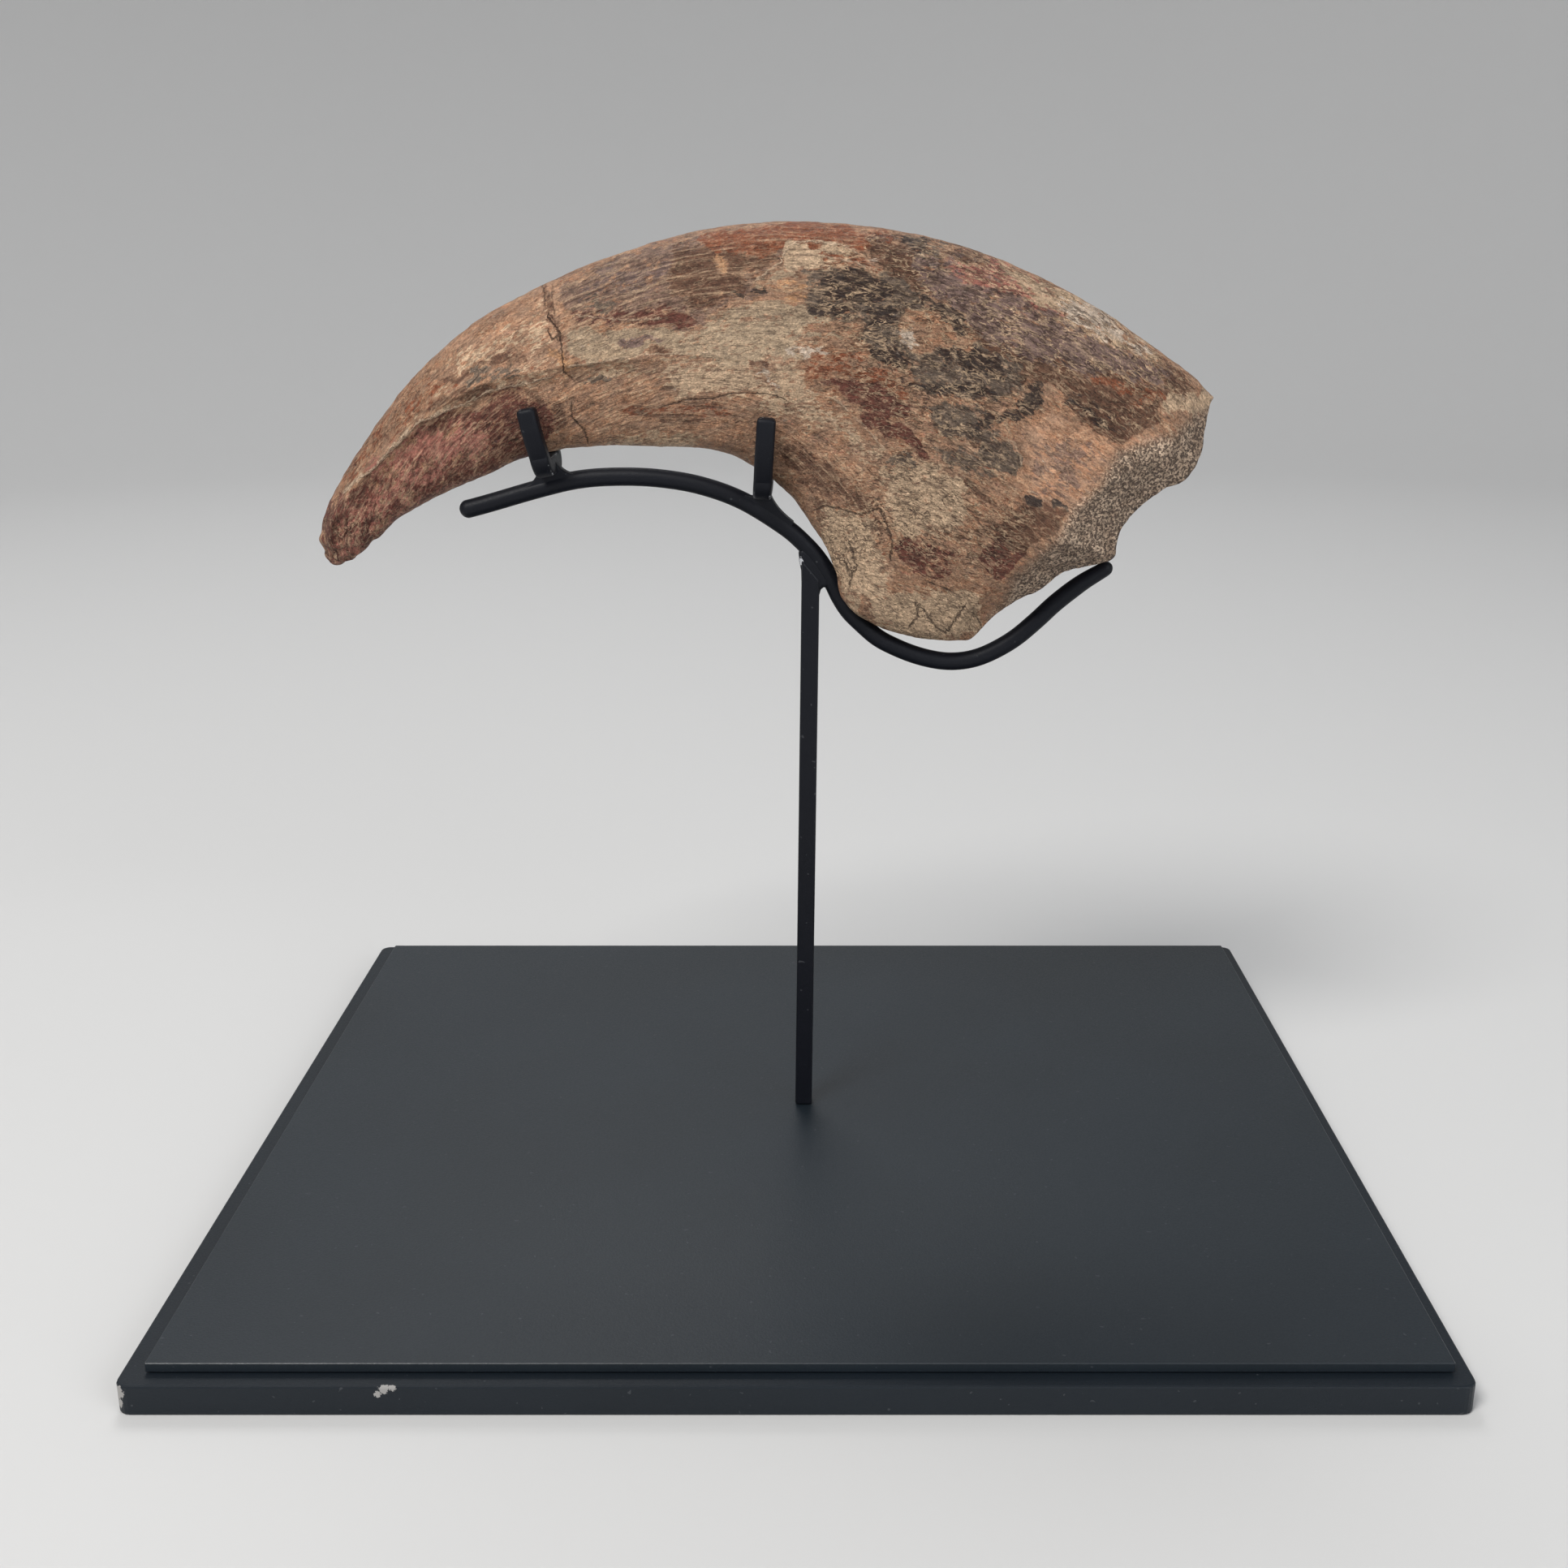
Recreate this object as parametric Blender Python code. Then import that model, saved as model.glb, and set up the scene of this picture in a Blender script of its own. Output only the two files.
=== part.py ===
"""Fossil theropod claw held by a bent rod and two clips on a post with a stepped base.

The claw is one natural solid. The mount is a post, a cradle rod, two U-bent clips and two
plates. X runs along the claw from the tip (-X) to the wrist end (+X), Z is up, and the
camera side is -Y. The origin is the middle of the base's underside. Sizes are millimetres.
"""
import math

import bmesh
import bpy
import numpy as np
from mathutils import Vector, noise

MM = 0.001
TOUCH_GAP = 0.3            # clearance left between pieces that bear on each other

# Base: two plates, the upper one set a little off centre
BASE_LENGTH, BASE_WIDTH, BASE_HEIGHT = 304.8, 254.0, 7.6
BASE_CORNER = 3.0
BASE_EDGE = 0.5
TOP_LENGTH, TOP_WIDTH, TOP_HEIGHT = 295.1, 243.9, 2.4
TOP_CENTRE = (0.9, -0.3)
TOP_EDGE = 0.2
DECK_Z = BASE_HEIGHT + TOUCH_GAP + TOP_HEIGHT

# Bars
BAR = 4.8                  # thickness of the post, the clips and the rod
BAR_EDGE = 0.5
MOUNT_Y = 3.0              # the post, the rod and the claw share this upright plane
POST_FOOT_X = 0.4
POST_TOP_X = 2.8
POST_TOP_Z = 167.8
POST_MITRE = math.radians(49)

# Cradle rod: centre line in X and Z, from its tip end to its wrist end
CRADLE = (
    (-89.6, 183.1), (-82.0, 185.1), (-68.3, 189.0), (-57.6, 191.4), (-46.9, 192.1),
    (-36.3, 191.6), (-25.7, 189.7), (-15.1, 185.8), (-4.4, 179.2), (0.9, 174.7),
    (4.8, 170.3), (8.2, 164.9), (10.6, 160.0), (13.0, 156.3), (16.0, 153.2),
    (20.4, 149.3), (24.8, 146.8), (30.6, 144.4), (36.4, 142.9), (41.6, 142.5),
    (46.9, 143.3), (52.1, 145.4), (57.8, 148.9), (63.2, 153.6), (68.5, 158.7),
    (74.9, 163.8), (80.0, 167.0), (82.9, 168.9),
)
CRADLE_END_RADIUS = 2.0    # the wrist end is worn thinner than the rest
CRADLE_TAPER = 14.0
CRADLE_STEPS = 62

# Clips: centre of the cross bar (X, Z), lean from upright, prong height, half gap low and high
TIP_CLIP = {"foot": (-65.9, 195.1), "lean": -10.6, "height": 16.0, "low": 9.4, "high": 12.7}
MID_CLIP = {"foot": (-9.6, 189.3), "lean": 4.4, "height": 19.4, "low": 9.4, "high": 14.2}
CLIP_BEND = 3.6
CLIP_TIP_ROUND = 1.1

# Claw sections from the tip to the wrist end: dorsal X, Z, ventral X, Z, half thickness
SECTIONS = np.array((
    (-126.4, 172.7, -120.4, 169.5, 3.0),
    (-126.7, 176.6, -116.3, 172.1, 4.6),
    (-124.9, 183.1, -112.4, 175.3, 5.8),
    (-119.9, 191.8, -106.2, 180.9, 6.8),
    (-113.2, 201.0, -99.5, 184.8, 7.6),
    (-105.1, 211.4, -90.7, 189.2, 8.4),
    (-94.9, 221.8, -82.0, 192.6, 9.2),
    (-81.8, 231.9, -72.2, 197.0, 10.1),
    (-69.0, 238.5, -62.5, 199.1, 11.0),
    (-54.3, 245.0, -51.9, 200.2, 11.8),
    (-37.7, 250.5, -39.2, 200.0, 12.6),
    (-21.3, 254.3, -26.5, 199.6, 13.3),
    (-5.0, 255.8, -17.0, 197.5, 14.0),
    (11.4, 255.2, -8.6, 192.6, 14.8),
    (27.7, 253.1, -1.2, 185.8, 15.8),
    (44.2, 249.0, 4.4, 176.6, 16.8),
    (60.8, 242.5, 8.2, 167.3, 17.8),
    (75.5, 235.1, 10.8, 158.8, 18.6),
    (88.4, 226.7, 18.8, 153.0, 19.0),
    (99.3, 219.4, 30.3, 149.8, 18.8),
    (106.8, 212.8, 42.0, 149.0, 17.5),
))
LAST = len(SECTIONS) - 1
TIP_POINT = (-124.6, 168.9)

# Rim of the wrist end seen from the side, from the dorsal lip down to the flexor tubercle
RIM = np.array((
    (106.8, 212.8), (105.2, 210.6), (103.8, 203.9), (102.6, 197.9), (99.1, 192.6),
    (93.1, 190.1), (87.0, 185.3), (83.1, 180.5), (82.0, 176.3), (81.1, 172.4),
    (74.8, 170.4), (68.6, 168.6), (63.1, 163.8), (56.4, 160.3), (50.7, 155.6),
    (45.6, 149.6), (42.0, 149.0),
))
RIM_NARROWING = 0.33       # how much narrower the rim is than the claw behind it
RIM_BEVEL = 13.0           # longest reach of the bevelled, spongy band
JOINT_SPAN = 0.72          # share of the rim, from the dorsal lip, that is the joint surface
FACET_DEPTH = 2.8
KEEL_HEIGHT = 1.5

# Ridge along each side: section number and place between dorsal (0) and ventral (1)
RIDGE = np.array(((0, 0.30), (2, 0.24), (4, 0.27), (6, 0.35), (8, 0.47), (10, 0.54),
                  (12, 0.57), (15, 0.58)))
RIDGE_HEIGHT, RIDGE_SPREAD = 0.7, 1.8
GROOVE_DEPTH, GROOVE_SPREAD, GROOVE_DROP = 1.3, 2.2, 4.2

SADDLE_DEPTH = 4.1         # hollow under the claw where the rod runs beside the tubercle
SADDLE_HALF_WIDTH = 5.2

CLAW_RINGS = 78
CLAW_AROUND = 36
CAP_ACROSS = 8
TIP_RINGS = 3


def clear_scene():
    for item in list(bpy.data.objects):
        bpy.data.objects.remove(item, do_unlink=True)


def finish(name, mesh, colour, roughness, metallic):
    """Put a mesh in the scene as one named piece with its own material."""
    item = bpy.data.objects.new(name, mesh)
    bpy.context.scene.collection.objects.link(item)
    material = bpy.data.materials.new(name)
    material.use_nodes = True
    shader = material.node_tree.nodes["Principled BSDF"]
    shader.inputs["Base Color"].default_value = (*colour, 1)
    shader.inputs["Roughness"].default_value = roughness
    shader.inputs["Metallic"].default_value = metallic
    item.data.materials.append(material)
    return item


def black_paint(name, mesh):
    return finish(name, mesh, (0.008, 0.010, 0.013), 0.45, 0.0)


def smooth_rows(table, place):
    """Read a table between its rows on a smooth curve through them."""
    place = np.clip(place, 0, len(table) - 1)
    row = np.minimum(place.astype(int), len(table) - 2)
    f = (place - row)[..., None]
    padded = np.vstack((2 * table[0] - table[1], table, 2 * table[-1] - table[-2]))
    a, b, c, d = (padded[row + k] for k in range(4))
    return 0.5 * (2 * b + (c - a) * f + (2 * a - 5 * b + 4 * c - d) * f ** 2
                  + (3 * b - a - 3 * c + d) * f ** 3)


def along(points, fraction):
    """Point at a fraction of the length of a smooth curve through the given points."""
    lengths = np.linalg.norm(np.diff(points, axis=0), axis=1)
    reached = np.concatenate(((0,), np.cumsum(lengths))) / lengths.sum()
    return smooth_rows(points, np.interp(fraction, reached, np.arange(len(points))))


def ease(low, high, value):
    x = np.clip((value - low) / (high - low), 0, 1)
    return x * x * (3 - 2 * x)


def hump(value, spread):
    return np.exp(-(value / spread) ** 2)


def lumps(points, scale, seed):
    """Slow irregular relief, between about -1 and 1, at each point."""
    shift = Vector((seed * 17.3, seed * 5.1, seed * 9.7))
    return np.array([noise.noise(Vector(p) / scale + shift) for p in points])


def claw_surface(section, angle):
    """Points of the claw's skin. The angle runs from the dorsal edge (0) by way of the near
    side to the ventral edge (pi) and back up the far side."""
    row = smooth_rows(SECTIONS, section)
    dorsal, ventral, half = row[:, 0:2], row[:, 2:4], row[:, 4]
    t = (1 - np.cos(angle)) / 2
    depth = np.linalg.norm(ventral - dorsal, axis=1)

    rim = along(RIM, t)
    chord = SECTIONS[LAST, 0:2] + (SECTIONS[LAST, 2:4] - SECTIONS[LAST, 0:2]) * t[:, None]
    bulge = ease(15.5, LAST, section)[:, None] ** 2
    flat = dorsal + (ventral - dorsal) * t[:, None] + bulge * (rim - chord)

    boxy = 0.9 * hump(section - 17.3, 2.6) * ease(0.5, 0.8, t)
    power = 2.3 + boxy
    width = half * (1 - np.abs(np.cos(angle)) ** power) ** (1 / power)
    keel = 0.13 + 0.24 * ease(11, 17, section)
    width *= 1 - keel * ease(0.42, 0.95, t)
    width *= 1 - 0.16 * ease(0.35, 0.0, t)

    to_rim = np.linalg.norm(rim - flat, axis=1)
    reach = 3 + (RIM_BEVEL - 3) * np.sin(math.pi * t) ** 0.7
    bevel = np.clip(1 - to_rim / reach, 0, 1) * ease(17.5, 18.5, section)
    width *= 1 - RIM_NARROWING * bevel

    side = np.where(np.sin(angle) < -1e-9, 1.0, -1.0)
    below = (t - np.interp(section, RIDGE[:, 0], RIDGE[:, 1])) * depth
    fade = ease(-0.5, 2.5, section) * ease(14.5, 8.5, section)
    relief = fade * RIDGE_HEIGHT * hump(below, RIDGE_SPREAD)
    groove_fade = ease(0, 3, section) * ease(13.0, 8.0, section)
    relief -= groove_fade * GROOVE_DEPTH * hump(below - GROOVE_DROP, GROOVE_SPREAD)

    spots = np.column_stack((flat[:, 0], side * 40, flat[:, 1]))
    rough = 0.55 + 0.7 * ease(16, 19, section) * ease(0.55, 0.9, t)
    relief += rough * lumps(spots, 19.0, 1)
    relief += 0.35 * lumps(spots, 7.0, 2)
    width += relief * np.minimum(np.abs(np.sin(angle)) * 1.6, 1)
    across = side * np.maximum(width, 0) * (np.abs(np.sin(angle)) > 1e-9)

    hollow = SADDLE_DEPTH * ease(14.4, 16.6, section) * ease(19.0, 17.4, section)
    hollow *= np.clip(1 - (across / SADDLE_HALF_WIDTH) ** 2, 0, 1) * ease(0.7, 0.9, t)
    flat = flat + (dorsal - ventral) / depth[:, None] * hollow[:, None]
    return np.column_stack((flat[:, 0], MOUNT_Y + across, flat[:, 1]))


def section_stops(count):
    """Section numbers that lie evenly along the claw's middle line."""
    fine = np.linspace(0, LAST, 400)
    row = smooth_rows(SECTIONS, fine)
    middle = (row[:, 0:2] + row[:, 2:4]) / 2
    steps = np.linalg.norm(np.diff(middle, axis=0), axis=1)
    reached = np.concatenate(((0,), np.cumsum(steps)))
    return np.interp(np.linspace(0, reached[-1], count), reached, fine)


def tip_rings(first_ring):
    """Rings that round off the blunt tip, from its point to just before the first section."""
    centre = first_ring.mean(axis=0)
    point = np.array((TIP_POINT[0], MOUNT_Y, TIP_POINT[1]))
    turns = [math.pi / 2 * (TIP_RINGS - k) / (TIP_RINGS + 1) for k in range(TIP_RINGS)]
    return point, [centre + (first_ring - centre) * math.cos(a) + (point - centre) * math.sin(a)
                   for a in turns]


def wrist_face(ring):
    """Rows of points across the wrist end, with two shallow hollows and a keel between."""
    half = CLAW_AROUND // 2
    outward = Vector((1, 0, -1)).normalized()
    rows = []
    for j in range(1, half):
        near, far = Vector(ring[j]), Vector(ring[CLAW_AROUND - j])
        t = (1 - math.cos(math.pi * j / half)) / 2
        strength = math.sin(math.pi * min(t / JOINT_SPAN, 1))
        row = []
        for k in range(1, CAP_ACROSS):
            v = abs(2 * k / CAP_ACROSS - 1)
            rise = KEEL_HEIGHT * (1 - v) ** 2
            rise -= FACET_DEPTH * math.sin(math.pi * v) ** 2
            spot = near.lerp(far, k / CAP_ACROSS)
            row.append(spot + outward * rise * strength)
        rows.append(row)
    return rows


def make_claw():
    angles = np.linspace(0, 2 * math.pi, CLAW_AROUND, endpoint=False)
    rings = [claw_surface(np.full(CLAW_AROUND, u), angles) for u in section_stops(CLAW_RINGS)]
    point, cap = tip_rings(rings[0])
    rings = cap + rings
    half = CLAW_AROUND // 2

    bm = bmesh.new()
    loops = [[bm.verts.new(Vector(p) * MM) for p in ring] for ring in rings]
    tip = bm.verts.new(Vector(point) * MM)
    for j in range(CLAW_AROUND):
        bm.faces.new((tip, loops[0][j - 1], loops[0][j]))
    for low, high in zip(loops, loops[1:]):
        for j in range(CLAW_AROUND):
            bm.faces.new((low[j - 1], high[j - 1], high[j], low[j]))

    end = loops[-1]
    middle = [[bm.verts.new(p * MM) for p in row] for row in wrist_face(rings[-1])]
    rows = [[end[j + 1], *row, end[CLAW_AROUND - 1 - j]] for j, row in enumerate(middle)]
    for upper, lower in zip(rows, rows[1:]):
        for k in range(CAP_ACROSS):
            bm.faces.new((upper[k], upper[k + 1], lower[k + 1], lower[k]))
    for k in range(CAP_ACROSS):
        bm.faces.new((end[0], rows[0][k + 1], rows[0][k]))
        bm.faces.new((end[half], rows[-1][k], rows[-1][k + 1]))

    bmesh.ops.recalc_face_normals(bm, faces=bm.faces)
    bmesh.ops.triangulate(bm, faces=bm.faces)
    mesh = bpy.data.meshes.new("claw")
    bm.to_mesh(mesh)
    bm.free()
    mesh.shade_smooth()
    mesh.set_sharp_from_angle(angle=math.radians(50))
    finish("claw", mesh, (0.30, 0.17, 0.11), 0.6, 0.0)


def box_mesh(name, length, width, height):
    """A block that stands on z = 0."""
    bm = bmesh.new()
    bmesh.ops.create_cube(bm, size=1)
    bmesh.ops.translate(bm, verts=bm.verts, vec=(0, 0, 0.5))
    bmesh.ops.scale(bm, verts=bm.verts, vec=(length * MM, width * MM, height * MM))
    mesh = bpy.data.meshes.new(name)
    bm.to_mesh(mesh)
    bm.free()
    return mesh


def round_upright_edges(mesh, radius, segments):
    bm = bmesh.new()
    bm.from_mesh(mesh)
    upright = [e for e in bm.edges if abs(e.verts[0].co.z - e.verts[1].co.z) > BAR * MM / 4]
    bmesh.ops.bevel(bm, geom=upright, offset=radius * MM, segments=segments, profile=0.5,
                    affect="EDGES")
    bm.to_mesh(mesh)
    bm.free()


def ease_edges(item, width, segments):
    bevel = item.modifiers.new("eased_edges", "BEVEL")
    bevel.width = width * MM
    bevel.segments = segments
    bevel.limit_method = "ANGLE"
    bevel.angle_limit = math.radians(40)


def make_plates():
    lower = box_mesh("base_plate", BASE_LENGTH, BASE_WIDTH, BASE_HEIGHT)
    round_upright_edges(lower, BASE_CORNER, 5)
    base = black_paint("base_plate", lower)
    ease_edges(base, BASE_EDGE, 2)

    upper = box_mesh("top_plate", TOP_LENGTH, TOP_WIDTH, TOP_HEIGHT)
    top = black_paint("top_plate", upper)
    top.location = (TOP_CENTRE[0] * MM, TOP_CENTRE[1] * MM, (BASE_HEIGHT + TOUCH_GAP) * MM)
    ease_edges(top, TOP_EDGE, 1)


def make_post():
    """Square bar whose top is mitred to the slope of the rod that it carries."""
    foot_z = DECK_Z + TOUCH_GAP
    rise = POST_TOP_Z - foot_z
    lean = math.atan2(POST_TOP_X - POST_FOOT_X, rise)
    mesh = box_mesh("post", BAR, BAR, rise / math.cos(lean))
    for vertex in mesh.vertices:
        if vertex.co.z > BAR * MM:
            vertex.co.z -= vertex.co.x * math.tan(POST_MITRE)
    post = black_paint("post", mesh)
    post.location = (POST_FOOT_X * MM, MOUNT_Y * MM, foot_z * MM)
    post.rotation_euler = (0, lean, 0)
    ease_edges(post, BAR_EDGE, 2)


def make_cradle_rod():
    """Round bar: a tube along its centre line, with rounded ends and a thinner wrist end."""
    line = np.array(CRADLE)
    length = np.linalg.norm(np.diff(line, axis=0), axis=1).sum()
    radius = BAR / 2
    round_end = [radius * (1 - math.cos(a)) for a in np.linspace(0.25, math.pi / 2, 4)]
    body = np.linspace(radius * 2, length - radius * 2, CRADLE_STEPS)
    stops = np.concatenate((round_end, body, [length - d for d in reversed(round_end)]))
    places = along(line, stops / length)

    curve = bpy.data.curves.new("cradle_rod", "CURVE")
    curve.dimensions = "3D"
    curve.bevel_depth = radius * MM
    curve.bevel_resolution = 4
    curve.use_fill_caps = True
    spline = curve.splines.new("POLY")
    spline.points.add(len(stops) - 1)
    for point, place, stop in zip(spline.points, places, stops):
        end = min(stop, length - stop, radius)
        rounding = math.sqrt(1 - (1 - end / radius) ** 2)
        thinner = 1 - CRADLE_END_RADIUS / radius
        taper = 1 - thinner * ease(length - CRADLE_TAPER, length, stop)
        point.co = (place[0] * MM, MOUNT_Y * MM, place[1] * MM, 1)
        point.radius = rounding * taper
    spline.use_smooth = True
    black_paint("cradle_rod", curve)


def clip_path(clip):
    """Points of a clip in its own plane: across the claw, then up along each prong."""
    side = []
    for turn in np.linspace(0, math.pi / 2, 6):
        side.append((clip["low"] - CLIP_BEND + CLIP_BEND * math.sin(turn),
                     CLIP_BEND - CLIP_BEND * math.cos(turn)))
    straight = clip["height"] - CLIP_BEND
    for f in (0.3, 0.6, 1 - 2 * CLIP_TIP_ROUND / straight, 1 - 0.7 * CLIP_TIP_ROUND / straight,
              1 - 0.2 * CLIP_TIP_ROUND / straight, 1):
        spread = (clip["high"] - clip["low"]) * (2 * f - f * f)
        side.append((clip["low"] + spread, CLIP_BEND + straight * f))
    near = [(-across, up) for across, up in reversed(side)]
    return near + side


def bar_outline():
    """Section of a square bar with rounded edges, as points across and through the bar."""
    corner = BAR_EDGE * 2
    flat = BAR / 2 - corner
    points = []
    for quarter in range(4):
        for part in range(3):
            a = math.pi / 2 * (quarter + part / 2)
            sx = 1 if quarter in (0, 3) else -1
            sy = 1 if quarter in (0, 1) else -1
            points.append((sx * flat + corner * math.cos(a), sy * flat + corner * math.sin(a)))
    return points


def make_clip(name, clip):
    """Square bar bent into a U around the claw's lower edge."""
    path = [Vector(p) for p in clip_path(clip)]
    outline = bar_outline()
    lean = math.radians(clip["lean"])
    up = Vector((math.sin(lean), 0, math.cos(lean)))
    through = Vector((math.cos(lean), 0, -math.sin(lean)))
    foot = Vector((clip["foot"][0], MOUNT_Y, clip["foot"][1]))
    tip_scale = {0: 0.55, 1: 0.84, 2: 0.97}

    bm = bmesh.new()
    loops = []
    for i, place in enumerate(path):
        ahead, behind = path[min(i + 1, len(path) - 1)], path[max(i - 1, 0)]
        run = (ahead - behind).normalized()
        normal = Vector((-run.y, run.x))
        scale = tip_scale.get(min(i, len(path) - 1 - i), 1.0)
        loop = []
        for u, v in outline:
            flat = place + normal * v * scale
            spot = foot + Vector((0, flat.x, 0)) + up * flat.y + through * u * scale
            loop.append(bm.verts.new(spot * MM))
        loops.append(loop)
    for low, high in zip(loops, loops[1:]):
        for j in range(len(outline)):
            bm.faces.new((low[j - 1], low[j], high[j], high[j - 1]))
    bm.faces.new(loops[0])
    bm.faces.new(loops[-1])
    bmesh.ops.recalc_face_normals(bm, faces=bm.faces)
    mesh = bpy.data.meshes.new(name)
    bm.to_mesh(mesh)
    bm.free()
    mesh.shade_smooth()
    mesh.set_sharp_from_angle(angle=math.radians(40))
    black_paint(name, mesh)


clear_scene()
make_plates()
make_post()
make_cradle_rod()
make_clip("tip_clip", TIP_CLIP)
make_clip("mid_clip", MID_CLIP)
make_claw()
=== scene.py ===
"""Looks of a fossil theropod claw that a bent rod and two clips hold on a post and a stepped base.

Shapes are worked out in millimetres and meshes are made in metres. X runs along the claw from
the tip (-X) to the wrist end (+X), Z is up, and the camera side is -Y.
"""
import math

import bmesh
import bpy
import numpy as np
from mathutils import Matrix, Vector, noise


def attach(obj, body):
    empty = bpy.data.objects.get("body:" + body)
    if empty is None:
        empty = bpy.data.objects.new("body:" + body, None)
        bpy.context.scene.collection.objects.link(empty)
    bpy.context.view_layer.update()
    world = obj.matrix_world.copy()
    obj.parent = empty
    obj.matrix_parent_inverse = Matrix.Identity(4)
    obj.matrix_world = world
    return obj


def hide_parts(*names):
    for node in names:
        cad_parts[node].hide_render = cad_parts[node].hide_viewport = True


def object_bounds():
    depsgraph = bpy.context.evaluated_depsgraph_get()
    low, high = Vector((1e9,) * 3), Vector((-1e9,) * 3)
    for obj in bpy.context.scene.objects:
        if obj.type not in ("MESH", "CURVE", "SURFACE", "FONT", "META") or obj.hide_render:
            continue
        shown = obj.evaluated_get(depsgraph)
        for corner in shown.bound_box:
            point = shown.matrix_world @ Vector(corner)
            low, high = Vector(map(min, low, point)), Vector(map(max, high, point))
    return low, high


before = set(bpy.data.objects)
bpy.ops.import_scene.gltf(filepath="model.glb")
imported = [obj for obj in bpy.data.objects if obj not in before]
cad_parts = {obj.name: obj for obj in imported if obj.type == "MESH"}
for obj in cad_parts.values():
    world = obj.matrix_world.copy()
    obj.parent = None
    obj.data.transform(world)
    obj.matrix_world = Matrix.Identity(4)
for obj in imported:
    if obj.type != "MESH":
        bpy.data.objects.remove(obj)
CAD_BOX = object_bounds()

MM = 0.001
MOUNT_Y = 3.0
BAR = 4.8

# Camera: horizon and centre column from the photograph's vanishing lines, and a focal length
# that makes the base 12 by 10
PHOTO_SIZE = 1932
FOCAL_PIXELS = 2167
CENTRE_PIXEL = (1013, 966)
PITCH = math.radians(17.33)
CAMERA_PLACE = np.array((5.85, -461.0, 252.5))

# Claw sections from the tip to the wrist end: dorsal X, Z, ventral X, Z, half thickness
SECTIONS = np.array((
    (-126.4, 172.7, -120.4, 169.5, 3.0),
    (-126.7, 176.6, -116.3, 172.1, 4.6),
    (-124.9, 183.1, -112.4, 175.3, 5.8),
    (-119.9, 191.8, -106.2, 180.9, 6.8),
    (-113.2, 201.0, -99.5, 184.8, 7.6),
    (-105.1, 211.4, -90.7, 189.2, 8.4),
    (-94.9, 221.8, -82.0, 192.6, 9.2),
    (-81.8, 231.9, -72.2, 197.0, 10.1),
    (-69.0, 238.5, -62.5, 199.1, 11.0),
    (-54.3, 245.0, -51.9, 200.2, 11.8),
    (-37.7, 250.5, -39.2, 200.0, 12.6),
    (-21.3, 254.3, -26.5, 199.6, 13.3),
    (-5.0, 255.8, -17.0, 197.5, 14.0),
    (11.4, 255.2, -8.6, 192.6, 14.8),
    (27.7, 253.1, -1.2, 185.8, 15.8),
    (44.2, 249.0, 4.4, 176.6, 16.8),
    (60.8, 242.5, 8.2, 167.3, 17.8),
    (75.5, 235.1, 10.8, 158.8, 18.6),
    (88.4, 226.7, 18.8, 153.0, 19.0),
    (99.3, 219.4, 30.3, 149.8, 18.8),
    (106.8, 212.8, 42.0, 149.0, 17.5),
))
LAST = len(SECTIONS) - 1
TIP_POINT = (-124.6, 168.9)

# Rim of the wrist end seen from the side, from the dorsal lip down to the flexor tubercle
RIM = np.array((
    (106.8, 212.8), (105.2, 210.6), (103.8, 203.9), (102.6, 197.9), (99.1, 192.6),
    (93.1, 190.1), (87.0, 185.3), (83.1, 180.5), (82.0, 176.3), (81.1, 172.4),
    (74.8, 170.4), (68.6, 168.6), (63.1, 163.8), (56.4, 160.3), (50.7, 155.6),
    (45.6, 149.6), (42.0, 149.0),
))
RIM_NARROWING = 0.33
RIM_BEVEL = 13.0
JOINT_SPAN = 0.72
FACET_DEPTH = 2.8
KEEL_HEIGHT = 1.5

# Ridge along each side: section number and place between dorsal (0) and ventral (1)
RIDGE = np.array(((0, 0.30), (2, 0.24), (4, 0.27), (6, 0.35), (8, 0.47), (10, 0.54),
                  (12, 0.57), (15, 0.58)))
RIDGE_HEIGHT, RIDGE_SPREAD = 0.7, 1.8
CREST_HEIGHT, CREST_SPREAD = 0.55, 0.9
GROOVE_DEPTH, GROOVE_SPREAD, GROOVE_DROP = 1.3, 2.2, 4.2

SADDLE_DEPTH = 4.1
SADDLE_HALF_WIDTH = 5.2

# Fineness of the claw's mesh and of the rod
RINGS = 400
AROUND = 232
CAP_ACROSS = 28
TIP_RINGS = 10
SIDE_EVENNESS = 0.225
ROD_STOPS = 190
ROD_AROUND = 32

# Depth beyond which the bone's fibres fan out
FAN_DEPTH = 52.0

# Bone colours, as the photograph's sRGB shows them
PALETTE = {
    "tan": (163, 131, 107),
    "warm_tan": (175, 129, 98),
    "cream": (206, 180, 150),
    "olive_cream": (170, 151, 126),
    "grey_brown": (128, 103, 90),
    "brown": (98, 68, 52),
    "pink": (160, 102, 90),
    "purple_grey": (118, 98, 93),
    "olive_grey": (100, 90, 80),
    "rust": (136, 76, 48),
    "maroon": (100, 52, 43),
    "black": (34, 31, 33),
    "ochre": (184, 140, 102),
    "white_and_sheen": (206, 190, 172),
}

# Colours of the fine detail. The furrow colour is partly the bone's dark and partly painted shade
# in the furrows, the thread and crest colours partly its pale and partly painted highlight on
# raised threads and crests, and the crack and pore colours are painted shade in the cracks and
# pores
FURROW_DARK_AND_SHADE = (62, 41, 33)
THREAD_PALE_AND_HIGHLIGHT = (222, 192, 158)
CREST_PALE_AND_HIGHLIGHT = (216, 190, 162)
CRACK_SHADE = (58, 41, 34)
SPONGE_TONES = ((178, 155, 133), (214, 191, 167))
PORE_SHADE = (72, 58, 51)

# Colours of the mount
BAR_PAINT = (16, 18, 25)
TOP_PAINT = (25, 33, 40)
BASE_PAINT = (22, 29, 36)
DUST = (110, 112, 116)
PRIMER = (154, 152, 150)
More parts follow.
